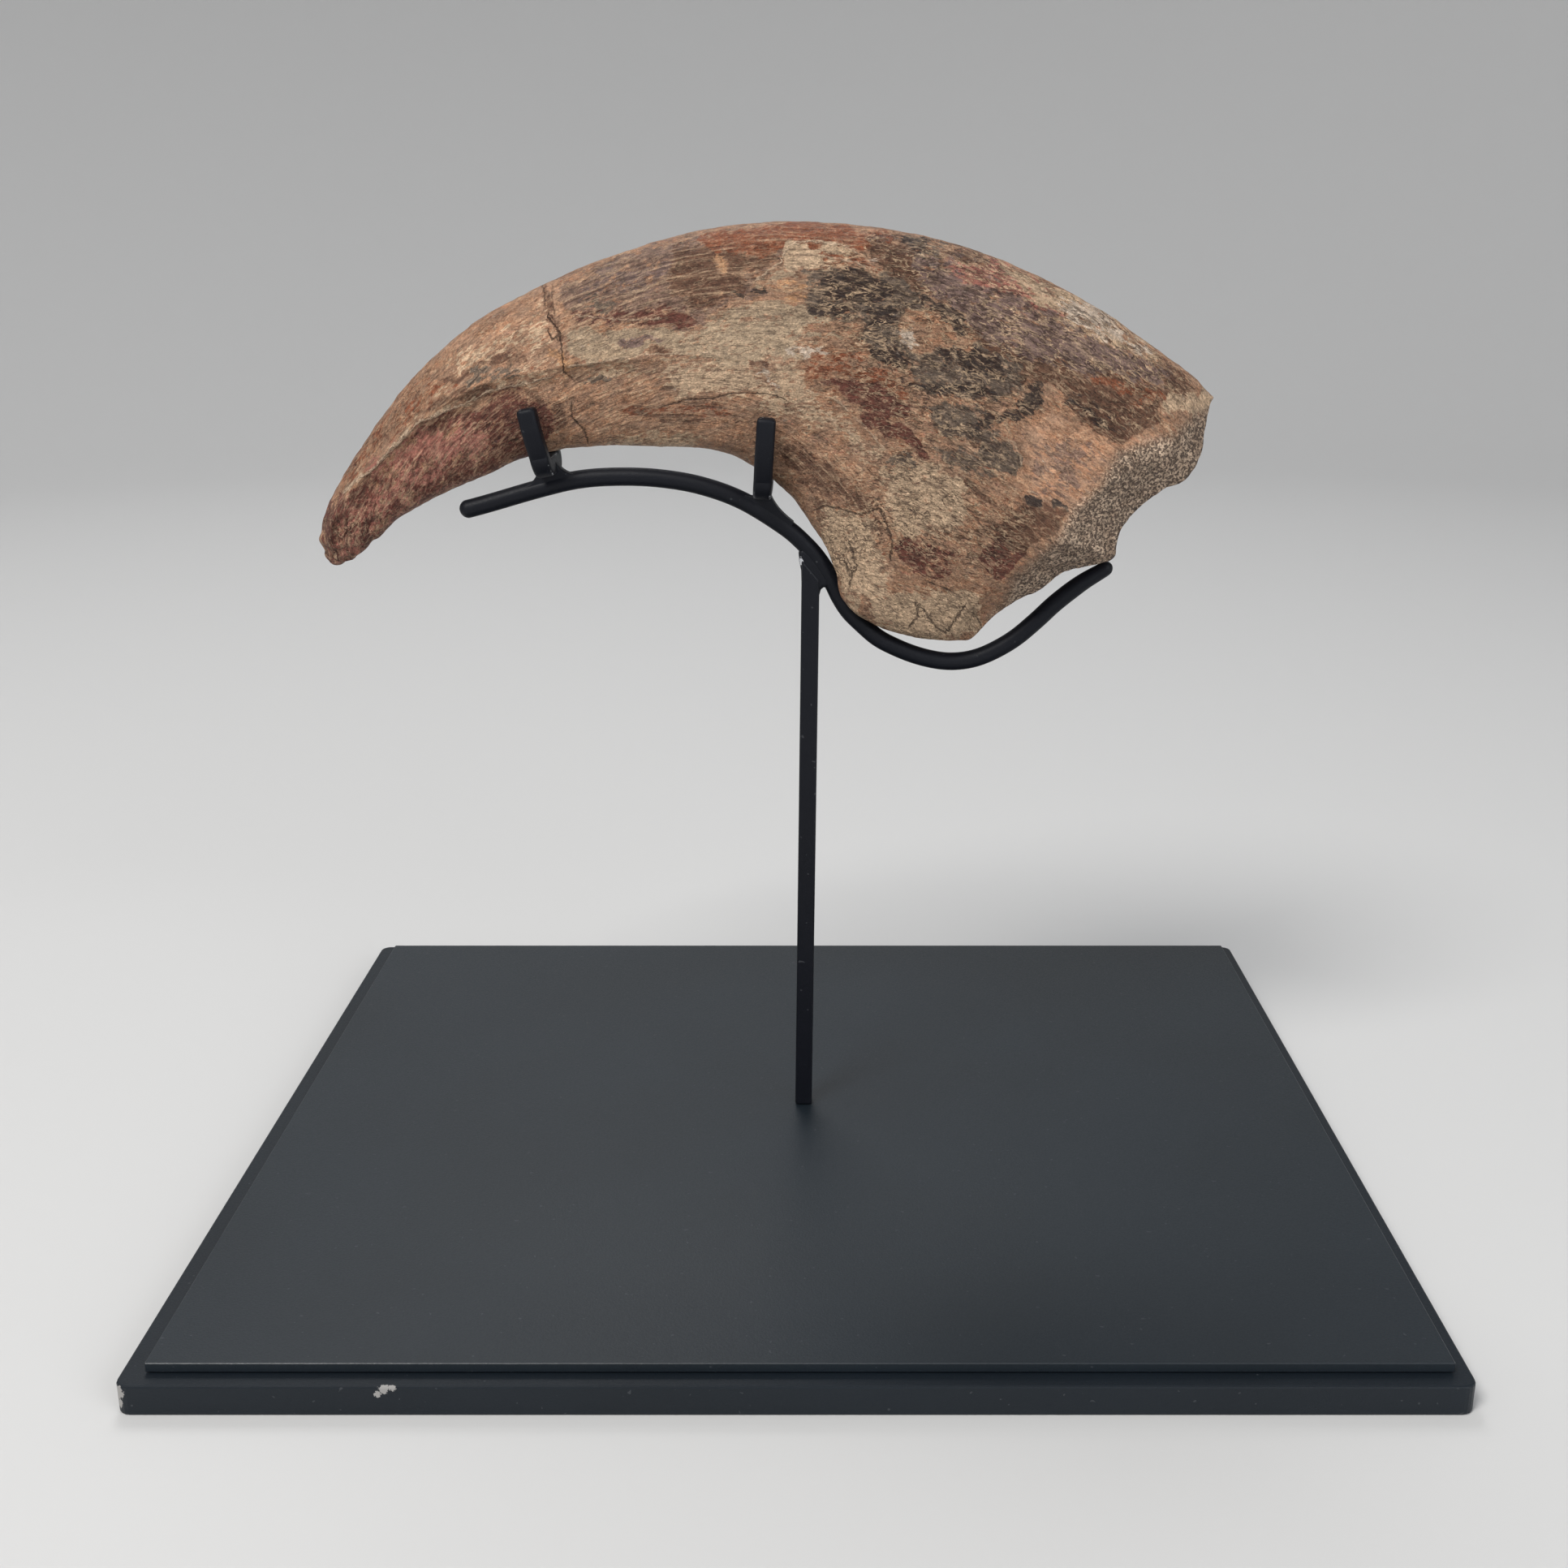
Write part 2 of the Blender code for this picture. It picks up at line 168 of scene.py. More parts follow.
# Pale grey of rubbed paint, and of the painted highlights on the clips' edges
PALE_RUB_AND_HIGHLIGHT = (186, 188, 192)

# Cover that a colour has everywhere, as scattered specks
STRAY_COVER = {"cream": 0.25, "brown": 0.20, "pink": 0.16, "rust": 0.16, "ochre": 0.08,
               "grey_brown": 0.20}

# Patches of colour on the near side: colour, cover, softness of the edge and outline, in
# the photograph's pixels. A cover below 1 leaves the patch mottled.
AREAS = (
    ("cream", 0.48, 30, ((450, 560), (560, 420), (684, 350), (700, 470), (560, 500), (470, 560))),
    ("brown", 0.55, 16, ((396, 640), (430, 560), (500, 470), (530, 480), (470, 560), (437, 600))),
    ("rust", 0.48, 16, ((410, 600), (450, 530), (520, 460), (560, 470), (480, 545), (440, 594))),
    ("warm_tan", 0.62, 26,
     ((470, 520), (520, 430), (600, 380), (675, 345), (665, 400), (560, 440), (500, 500))),
    ("maroon", 0.86, 13,
     ((394, 716), (396, 620), (437, 598), (475, 565), (514, 524), (576, 500), (640, 482),
      (680, 500), (672, 560), (600, 592), (520, 636), (470, 678), (430, 716))),
    ("brown", 0.38, 12,
     ((394, 706), (396, 620), (437, 598), (475, 565), (514, 524), (576, 500), (640, 482),
      (664, 500), (655, 545), (600, 588), (520, 638), (470, 675), (430, 716))),
    ("pink", 0.6, 22,
     ((400, 700), (410, 620), (450, 600), (560, 560), (600, 580), (520, 625), (470, 665),
      (430, 708))),
    ("pink", 0.86, 34,
     ((455, 585), (478, 552), (520, 528), (580, 512), (612, 530), (600, 560), (540, 575),
      (490, 590), (465, 600))),
    ("maroon", 0.6, 16, ((585, 500), (640, 486), (650, 520), (630, 560), (600, 560), (590, 530))),
    ("grey_brown", 0.84, 8,
     ((692, 345), (760, 318), (860, 286), (940, 272), (975, 300), (962, 322), (932, 345),
      (941, 366), (905, 376), (880, 388), (853, 404), (760, 402), (704, 396), (694, 372))),
    ("purple_grey", 0.6, 16,
     ((705, 350), (740, 325), (830, 318), (838, 345), (770, 366), (715, 372))),
    ("brown", 0.78, 14,
     ((830, 300), (960, 280), (960, 322), (930, 345), (925, 368), (860, 380), (820, 360))),
    ("rust", 0.92, 10,
     ((862, 282), (1000, 268), (1100, 290), (1096, 312), (1010, 298), (968, 306), (930, 318),
      (880, 312))),
    ("maroon", 0.56, 8, ((697, 376), (780, 372), (853, 378), (854, 398), (790, 404), (700, 396))),
    ("maroon", 0.95, 4, ((786, 384), (850, 381), (853, 396), (800, 400))),
    ("olive_grey", 0.5, 9, ((706, 366), (745, 362), (760, 372), (744, 386), (712, 386))),
    ("olive_cream", 0.88, 10,
     ((700, 404), (780, 406), (852, 404), (882, 390), (940, 370), (980, 372), (1040, 392),
      (985, 404), (1030, 414), (980, 424), (1016, 440), (960, 446), (900, 452), (800, 440),
      (730, 446), (698, 430))),
    ("cream", 0.5, 14,
     ((820, 404), (900, 384), (990, 385), (1000, 430), (960, 480), (900, 480), (850, 440))),
    ("cream", 0.55, 12,
     ((700, 452), (790, 446), (900, 456), (920, 470), (840, 484), (740, 480), (702, 470))),
    ("cream", 0.62, 10, ((920, 452), (985, 440), (1010, 500), (970, 520), (938, 510))),
    ("warm_tan", 0.72, 14,
     ((700, 470), (800, 455), (930, 480), (940, 540), (800, 548), (700, 545))),
    ("cream", 0.8, 16, ((815, 448), (935, 450), (940, 486), (830, 492))),
    ("brown", 0.5, 10, ((770, 500), (860, 494), (925, 500), (925, 522), (840, 526), (775, 522))),
    ("cream", 0.6, 5, ((745, 536), (850, 533), (880, 542), (850, 552), (750, 551))),
    ("brown", 0.5, 6,
     ((955, 368), (932, 345), (961, 324), (977, 300), (1015, 297), (1055, 311), (1052, 330),
      (1000, 340), (990, 372))),
    ("cream", 0.95, 3,
     ((961, 326), (967, 308), (977, 300), (999, 296), (1015, 297), (1039, 303), (1055, 311),
      (1040, 319), (1010, 319), (990, 328), (976, 338))),
    ("olive_cream", 0.5, 5,
     ((955, 370), (941, 367), (933, 354), (932, 345), (948, 334), (966, 324), (984, 330),
      (996, 346), (980, 362))),
    ("ochre", 0.45, 7, ((952, 348), (975, 340), (1000, 352), (1000, 372), (965, 376), (950, 364))),
    ("rust", 0.8, 5,
     ((1010, 304), (1060, 312), (1094, 326), (1096, 342), (1050, 330), (1012, 318))),
    ("brown", 0.88, 10,
     ((1060, 290), (1200, 310), (1330, 370), (1460, 460), (1492, 500), (1440, 505), (1380, 492),
      (1300, 460), (1250, 480), (1180, 440), (1140, 380), (1090, 340))),
    ("purple_grey", 0.8, 14,
     ((1120, 300), (1240, 330), (1330, 385), (1440, 455), (1430, 478), (1330, 462), (1260, 440),
      (1190, 400), (1130, 350))),
    ("pink", 0.74, 14,
     ((1150, 310), (1240, 325), (1330, 360), (1310, 392), (1240, 372), (1180, 350))),
    # The cream and white patches along the dorsal edge: partly pale bone, partly a painted sheen
    ("cream", 0.72, 12,
     ((1220, 318), (1300, 345), (1420, 420), (1436, 452), (1390, 440), (1320, 404), (1240, 345))),
    ("white_and_sheen", 0.66, 9,
     ((1300, 362), (1345, 376), (1425, 430), (1418, 442), (1360, 415), (1310, 392))),
    ("olive_grey", 0.84, 10,
     ((985, 325), (1100, 330), (1150, 370), (1210, 420), (1260, 440), (1262, 480), (1200, 500),
      (1140, 480), (1130, 450), (1070, 440), (1062, 400), (990, 380))),
    ("black", 1.1, 9,
     ((1014, 336), (1062, 330), (1092, 344), (1104, 366), (1070, 378), (1040, 368), (1000, 372),
      (1022, 358), (984, 356), (1004, 346))),
    ("black", 0.85, 6, ((996, 374), (1049, 374), (1060, 386), (1030, 392), (1000, 388))),
    ("black", 1.0, 5, ((1066, 384), (1100, 384), (1104, 402), (1072, 406))),
    ("black", 1.1, 5,
     ((1072, 424), (1098, 428), (1124, 440), (1126, 452), (1096, 452), (1074, 440))),
    ("black", 1.1, 4, ((1155, 430), (1172, 428), (1174, 450), (1158, 452))),
    ("black", 1.0, 7,
     ((1182, 426), (1214, 430), (1244, 448), (1236, 466), (1202, 462), (1184, 444))),
    ("warm_tan", 0.95, 6,
     ((1108, 384), (1140, 378), (1180, 392), (1206, 414), (1196, 432), (1160, 428), (1128, 436),
      (1104, 420))),
    ("white_and_sheen", 0.72, 8, ((1103, 408), (1122, 406), (1130, 420), (1124, 432), (1106, 430))),
    ("rust", 0.52, 14,
     ((985, 425), (1060, 430), (1130, 470), (1120, 505), (1060, 500), (1000, 470))),
    ("maroon", 1.0, 7,
     ((1012, 470), (1050, 470), (1090, 478), (1120, 500), (1112, 520), (1075, 512), (1045, 490))),
    ("maroon", 1.1, 5,
     ((1060, 508), (1094, 518), (1122, 540), (1150, 560), (1132, 566), (1100, 540), (1070, 522))),
    ("olive_grey", 0.85, 8, ((1146, 500), (1220, 505), (1240, 530), (1210, 545), (1160, 535))),
    ("olive_grey", 1.1, 5,
     ((1216, 534), (1244, 540), (1256, 558), (1257, 578), (1230, 578), (1212, 560))),
    ("olive_grey", 0.62, 10, ((1150, 545), (1215, 550), (1250, 580), (1220, 592), (1160, 575))),
    ("brown", 1.15, 5,
     ((1268, 456), (1306, 460), (1344, 480), (1384, 492), (1424, 502), (1428, 520), (1408, 534),
      (1384, 544), (1350, 540), (1330, 522), (1326, 508), (1300, 480), (1270, 472))),
    ("black", 0.5, 10,
     ((1290, 474), (1340, 494), (1400, 508), (1418, 522), (1380, 538), (1344, 526))),
    ("rust", 0.5, 6, ((1330, 470), (1380, 468), (1430, 492), (1424, 502), (1380, 492))),
    ("cream", 0.82, 5, ((1424, 490), (1452, 480), (1500, 484), (1498, 508), (1430, 514))),
    ("warm_tan", 0.8, 16,
     ((1262, 520), (1300, 490), (1340, 520), (1360, 545), (1430, 532), (1370, 570), (1320, 640),
      (1280, 670), (1262, 610))),
    ("grey_brown", 0.5, 18,
     ((1264, 530), (1310, 540), (1370, 560), (1350, 620), (1300, 650), (1268, 620))),
    ("cream", 0.72, 14,
     ((1085, 575), (1140, 560), (1195, 580), (1190, 650), (1120, 662), (1090, 630))),
    ("brown", 0.62, 16,
     ((950, 535), (1000, 560), (1070, 600), (1090, 660), (1040, 640), (980, 590))),
    ("cream", 0.76, 16,
     ((1000, 610), (1070, 640), (1100, 700), (1100, 740), (1050, 740), (1010, 680))),
    ("maroon", 0.95, 6,
     ((1103, 672), (1121, 659), (1140, 664), (1148, 691), (1140, 712), (1124, 705), (1108, 690))),
    ("maroon", 0.72, 7, ((1140, 668), (1172, 676), (1176, 704), (1150, 708))),
    ("maroon", 1.0, 6,
     ((1201, 688), (1223, 667), (1247, 680), (1271, 680), (1255, 701), (1236, 720), (1217, 704))),
    ("brown", 1.1, 6,
     ((1218, 652), (1249, 635), (1268, 616), (1308, 632), (1305, 653), (1295, 664), (1271, 682),
      (1247, 682), (1225, 668))),
    ("black", 1.0, 4, ((1264, 614), (1284, 618), (1282, 630), (1268, 630))),
    ("black", 1.0, 4, ((1298, 618), (1310, 618), (1308, 632), (1300, 630))),
    ("brown", 0.6, 7, ((1056, 742), (1096, 738), (1098, 770), (1070, 772))),
    ("cream", 1.0, 14,
     ((1060, 735), (1090, 730), (1200, 735), (1210, 780), (1150, 792), (1095, 775))),
    ("olive_grey", 0.45, 9, ((1120, 290), (1170, 300), (1175, 328), (1135, 328))),
)

# Texture of the surface: kind, strength, softness and outline, in the photograph's pixels.
# Fibre runs along the claw, net is a mesh of winding lines, and calm bone is smooth.
TEXTURES = (
    ("fibre", 0.9, 30,
     ((540, 470), (684, 350), (860, 286), (1000, 275), (1100, 290), (1000, 380), (940, 470),
      (930, 545), (700, 545), (640, 500))),
    ("fibre", 0.75, 26, ((400, 690), (420, 600), (540, 460), (640, 490), (680, 560), (560, 600))),
    ("fibre", 0.6, 26,
     ((1100, 280), (1250, 320), (1480, 470), (1440, 490), (1300, 440), (1150, 380))),
    ("fibre", 0.8, 20,
     ((935, 520), (1080, 560), (1110, 640), (1090, 740), (1040, 740), (1000, 620))),
    ("net", 0.9, 26,
     ((1000, 330), (1060, 290), (1200, 300), (1350, 370), (1480, 470), (1440, 500), (1290, 470),
      (1230, 520), (1240, 590), (1150, 560), (1060, 500), (1030, 420))),
    ("net", 1.0, 20,
     ((1075, 560), (1150, 555), (1220, 600), (1280, 640), (1240, 700), (1180, 700), (1100, 680),
      (1010, 720), (1010, 640), (1060, 620))),
    ("net", 0.6, 14, ((1090, 725), (1200, 735), (1210, 790), (1100, 785))),
    ("net", 0.6, 16, ((400, 640), (480, 620), (470, 690), (400, 710))),
    ("net", 0.7, 10,
     ((1273, 462), (1337, 485), (1420, 507), (1423, 520), (1387, 538), (1337, 520))),
    ("calm", 0.7, 16,
     ((1262, 520), (1290, 500), (1330, 530), (1430, 540), (1370, 570), (1320, 640), (1290, 660),
      (1262, 610))),
    ("calm", 0.6, 20, ((560, 420), (684, 350), (702, 370), (700, 470), (620, 480), (540, 480))),
    ("calm", 0.5, 16, ((704, 404), (940, 385), (1000, 400), (990, 440), (900, 452), (710, 440))),
)

# Streaks and spots: colour, cover, half width and route, in the photograph's pixels
STREAKS = (
    # Cream band along the ridge: partly pale bone, partly painted highlight on the ridge's top
    ("cream", 0.5, 4.0,
     ((437, 592), (459, 576), (475, 559), (514, 518), (543, 507), (576, 493), (607, 478),
      (638, 472), (677, 462), (736, 452), (795, 440), (872, 439))),
    ("brown", 0.66, 5.0, ((671, 350), (674, 372), (680, 392), (687, 412))),
    ("pink", 0.62, 12.0, ((462, 580), (500, 552), (560, 530))),
    # Dark line just under the ridge: partly the bone's own colour, partly painted shade on the
    # ridge's lower side
    ("maroon", 1.0, 2.6, ((608, 485), (624, 480), (640, 476))),
    ("maroon", 1.0, 4.5, ((597, 526), (605, 548))),
    ("maroon", 1.0, 5.0, ((576, 575), (551, 580))),
    ("brown", 0.66, 7.0, ((545, 470), (590, 455), (640, 440))),
    ("olive_grey", 0.6, 8.0, ((560, 474), (600, 464), (629, 455))),
    # Dark line just under the ridge near the tip: partly the bone's own colour, partly painted
    # shade on the ridge's lower side
    ("brown", 0.7, 6.0, ((520, 505), (560, 488), (600, 478))),
    ("brown", 0.9, 5.0, ((651, 476), (664, 491))),
    ("brown", 0.9, 8.0, ((684, 500), (686, 525))),
    ("ochre", 0.72, 9.0, ((680, 434), (699, 450))),
    ("ochre", 0.72, 8.0, ((884, 322), (892, 338))),
    ("ochre", 0.6, 5.0, ((889, 358), (894, 362))),
    ("maroon", 0.9, 4.0, ((890, 303), (896, 307))),
    ("black", 0.85, 4.0, ((911, 366), (919, 364))),
    ("black", 0.85, 3.5, ((934, 360), (939, 360))),
    ("purple_grey", 0.85, 5.0, ((773, 423), (811, 423))),
    ("olive_grey", 0.85, 4.0, ((725, 470), (744, 466))),
    ("brown", 0.8, 5.0, ((805, 437), (827, 438))),
    ("brown", 0.85, 5.0, ((929, 447), (943, 452))),
    ("rust", 0.55, 6.0, ((773, 510), (830, 506), (901, 508))),
    ("cream", 0.8, 6.0, ((1040, 728), (1048, 742), (1066, 760), (1090, 780))),
    ("white_and_sheen", 0.6, 7.0, ((977, 430), (1000, 436), (1017, 440))),
    ("white_and_sheen", 0.55, 6.0, ((938, 462), (950, 476))),
    ("cream", 0.62, 13.0, ((985, 500), (1040, 530), (1087, 562))),
    ("black", 0.92, 6.0, ((1135, 367), (1153, 380), (1183, 393), (1188, 407))),
    ("black", 0.8, 5.0, ((1113, 300), (1140, 302))),
    ("black", 0.95, 8.0, ((1234, 512), (1252, 503))),
    ("black", 0.95, 10.0, ((1264, 498), (1274, 484))),
    ("black", 0.95, 7.0, ((1212, 519), (1222, 513))),
    ("black", 0.6, 7.0, ((1119, 470), (1180, 480), (1233, 490))),
    ("olive_grey", 0.85, 6.0, ((1103, 569), (1121, 569))),
    ("cream", 0.62, 4.0, ((1018, 316), (1050, 322), (1087, 336))),
    ("rust", 0.85, 4.0, ((1352, 476), (1390, 482), (1428, 495))),
    ("purple_grey", 0.85, 9.0, ((1284, 400), (1350, 440), (1425, 465))),
    ("brown", 0.8, 7.0, ((985, 560), (1020, 590), (1045, 620))),
    ("brown", 0.7, 6.0, ((965, 560), (1000, 610), (1015, 640))),
    ("cream", 0.8, 5.0, ((1015, 640), (1030, 690), (1045, 725))),
    ("brown", 0.66, 6.0, ((1190, 590), (1230, 620), (1260, 640))),
)

# Cracks: strength, half width and route, in the photograph's pixels
CRACKS = (
    (0.6, 0.8, ((669, 352), (671, 372), (676, 392))),
    (0.6, 0.8, ((681, 352), (680, 370), (683, 387))),
    (0.9, 1.0, ((676, 392), (684, 400), (690, 411), (680, 420), (676, 408))),
    (0.8, 0.8, ((690, 411), (691, 424), (695, 459), (705, 467))),
    (0.9, 1.0, ((704, 499), (705, 515), (720, 531), (724, 544))),
    (0.9, 0.8, ((816, 501), (843, 493), (880, 491), (899, 485), (944, 485), (966, 492))),
    (0.8, 0.8, ((609, 552), (624, 545), (638, 541))),
    (0.9, 1.0, ((1084, 627), (1093, 648), (1100, 672), (1096, 690))),
    (1.0, 1.3, ((1047, 669), (1055, 701), (1047, 709))),
    (0.9, 1.1, ((1040, 690), (1049, 712), (1046, 722))),
    (0.9, 0.9, ((1004, 629), (1014, 624), (1028, 625), (1060, 634), (1084, 627))),
    (0.9, 0.9, ((1143, 717), (1164, 725), (1183, 736))),
    (1.0, 1.1, ((1129, 744), (1131, 760), (1121, 773))),
    (0.9, 0.9, ((1135, 747), (1153, 773), (1164, 780))),
    (1.0, 1.2, ((1188, 747), (1177, 765), (1167, 779))),
    (0.9, 0.9, ((1199, 755), (1209, 771))),
    (0.5, 0.8, ((1090, 536), (1120, 556), (1180, 600), (1240, 640))),
    (0.5, 0.8, ((1255, 559), (1257, 577), (1250, 590))),
)

# Raised lines, pale partly in their own colour and partly as painted highlight on their crests:
# strength, half width and route, in the photograph's pixels
CRESTS = (
    (1.4, 1.5,
     ((425, 606), (437, 594), (459, 578), (475, 561), (514, 520), (543, 509), (576, 495),
      (607, 480), (638, 474), (677, 464))),
    (0.7, 1.3, ((709, 388), (745, 392), (779, 395), (812, 392))),
    (0.7, 1.2, ((700, 452), (736, 446), (795, 436), (872, 434))),
    (0.8, 1.3,
     ((932, 345), (947, 334), (961, 324), (967, 308), (977, 300), (999, 296), (1039, 303),
      (1055, 311))),
    (0.7, 1.3, ((1018, 316), (1050, 322), (1087, 336))),
    (0.7, 1.3, ((993, 481), (1030, 492), (1060, 520), (1087, 550))),
    (0.6, 1.3, ((1000, 505), (1040, 526), (1075, 560))),
    (0.6, 1.2, ((1215, 530), (1250, 545), (1260, 575))),
    (0.6, 1.2, ((1245, 600), (1290, 612), (1320, 632))),
    (0.6, 1.2, ((1130, 384), (1180, 392), (1208, 414))),
)

# Layers of bone that have flaked off: depth in mm and outline, in the photograph's pixels
FLAKES = (
    (0.3,
     ((955, 368), (941, 365), (933, 352), (932, 345), (961, 324), (967, 308), (977, 300),
      (999, 296), (1015, 297), (1039, 303), (1055, 311), (1052, 324), (1020, 328), (996, 336),
      (984, 350), (975, 366))),
    (0.22,
     ((700, 406), (780, 406), (852, 405), (860, 392), (882, 388), (940, 372), (1010, 392),
      (1010, 440), (940, 450), (700, 436))),
    (0.25,
     ((1258, 520), (1300, 490), (1338, 524), (1352, 540), (1430, 536), (1370, 572), (1300, 664),
      (1262, 690), (1262, 610), (1257, 576), (1255, 559))),
    (0.2,
     ((1108, 384), (1140, 378), (1180, 392), (1206, 414), (1196, 432), (1160, 428), (1128, 436),
      (1104, 420))),
)

# Pits in the worn tip: place in the photograph's pixels, radius and depth in mm
PITS = (
    ((415, 652), 1.5, 0.8), ((415, 668), 1.3, 0.7), ((402, 679), 1.6, 0.8),
    ((456, 648), 1.3, 0.6), ((458, 666), 1.4, 0.7), ((425, 690), 1.2, 0.5),
    ((404, 655), 1.0, 0.5), ((430, 660), 1.0, 0.4), ((412, 688), 1.2, 0.6),
)

# Scale of the photograph at the claw, and a place in it beyond the wrist end
PIXELS_PER_MM = 4.7
BEYOND_WRIST = 1560.0

# How far the far side's places drift from the near side's, across and down the photograph:
# steady part and wandering part in pixels, size of the wandering in mm and its seed
FAR_DRIFT = ((46, 70, 38.0, 11), (8, 46, 30.0, 12))

# Pushes that make the patches' outlines ragged: size in mm, reach in pixels and seed
RAGGED = ((9.0, 11.0, 21), (3.6, 7.0, 23), (1.7, 4.0, 25))

# Edge of the spongy bone along the wrist end, in the photograph's pixels
SPONGE_EDGE = ((1510, 506), (1488, 506), (1472, 514), (1448, 538), (1424, 545), (1380, 558),
               (1370, 575), (1358, 600), (1322, 632), (1308, 660), (1280, 690), (1252, 714),
               (1240, 740), (1222, 762), (1215, 800), (1600, 800), (1600, 506))

# Cradle rod: centre line in X and Z, from its tip end to its wrist end
CRADLE = np.array((
    (-89.6, 183.1), (-82.0, 185.1), (-68.3, 189.0), (-57.6, 191.4), (-46.9, 192.1),
    (-36.3, 191.6), (-25.7, 189.7), (-15.1, 185.8), (-4.4, 179.2), (0.9, 174.7),
    (4.8, 170.3), (8.2, 164.9), (10.6, 160.0), (13.0, 156.3), (16.0, 153.2),
    (20.4, 149.3), (24.8, 146.8), (30.6, 144.4), (36.4, 142.9), (41.6, 142.5),
    (46.9, 143.3), (52.1, 145.4), (57.8, 148.9), (63.2, 153.6), (68.5, 158.7),
    (74.9, 163.8), (80.0, 167.0), (82.9, 168.9),
))
CRADLE_END_RADIUS = 2.0
CRADLE_TAPER = 14.0

# Clips: centre of the cross bar (X, Z), lean from upright, prong height, half gap low and
# high, and how strong the pale grey patch on the far prong's foot is
TIP_CLIP = {"foot": (-65.9, 195.1), "lean": -10.6, "height": 16.0, "low": 9.4, "high": 12.7,
            "far_pale_patch": 1.0}
MID_CLIP = {"foot": (-9.6, 189.3), "lean": 4.4, "height": 19.4, "low": 9.4, "high": 14.2,
            "far_pale_patch": 0.3}
CLIP_BEND = 3.6
CLIP_TIP_ROUND = 1.1
BAR_CORNER = 1.0

# Brazed joint under each clip: foot on the rod (X, Z), the rod's slope in degrees, and the
# reach, rise, fall and start of the flank on the tip's side and on the wrist's side
TIP_WELD = ((-65.3, 189.6), 13, (8.0, 3.5, 1.7, 2.0), (9.0, 5.1, 1.7, 2.8))
MID_WELD = ((-10.0, 182.9), -31, (6.0, 3.4, 1.5, 2.0), (8.5, 3.4, 4.6, 0.0))
CLIP_WELD_HALF = 2.0

# Brazed joint at the post's head: outline (X, Z), half thickness and the place that is rubbed
POST_WELD = ((1.0, 160.0), (0.35, 163.0), (0.25, 167.5), (-0.3, 170.2), (-0.4, 172.2),
             (0.8, 173.6), (3.6, 171.4), (6.4, 167.2), (8.2, 164.2), (7.2, 162.9),
             (6.2, 162.9), (5.5, 162.3), (5.15, 161.0), (4.6, 159.6), (2.6, 158.6))
POST_WELD_HALF = 2.1
POST_WELD_RUB = (-0.2, 0.9, 170.6)
WELD_EDGE = 1.1

# Floor's radius, the radius of its turn up into the wall and the wall's top, in metres
FLOOR_RADIUS = 1.6
TURN_RADIUS = 1.2
WALL_TOP = 2.6


def smooth_rows(table, place):
    """Read a table between its rows on a smooth curve through them."""
    place = np.clip(place, 0, len(table) - 1)
    row = np.minimum(place.astype(int), len(table) - 2)
    f = (place - row)[..., None]
    padded = np.vstack((2 * table[0] - table[1], table, 2 * table[-1] - table[-2]))
    a, b, c, d = (padded[row + k] for k in range(4))
    return 0.5 * (2 * b + (c - a) * f + (2 * a - 5 * b + 4 * c - d) * f ** 2
                  + (3 * b - a - 3 * c + d) * f ** 3)


def along(points, fraction):
    """Point at a fraction of the length of a smooth curve through the given points."""
    lengths = np.linalg.norm(np.diff(points, axis=0), axis=1)
    reached = np.concatenate(((0,), np.cumsum(lengths))) / lengths.sum()
    return smooth_rows(points, np.interp(fraction, reached, np.arange(len(points))))


def ease(low, high, value):
    x = np.clip((value - low) / (high - low), 0, 1)
    return x * x * (3 - 2 * x)


def hump(value, spread):
    return np.exp(-(value / spread) ** 2)


def lumps(points, scale, seed):
    """Slow irregular relief, between about -1 and 1, at each point."""
    shift = Vector((seed * 17.3, seed * 5.1, seed * 9.7))
    return np.array([noise.noise(Vector(p) / scale + shift) for p in points])


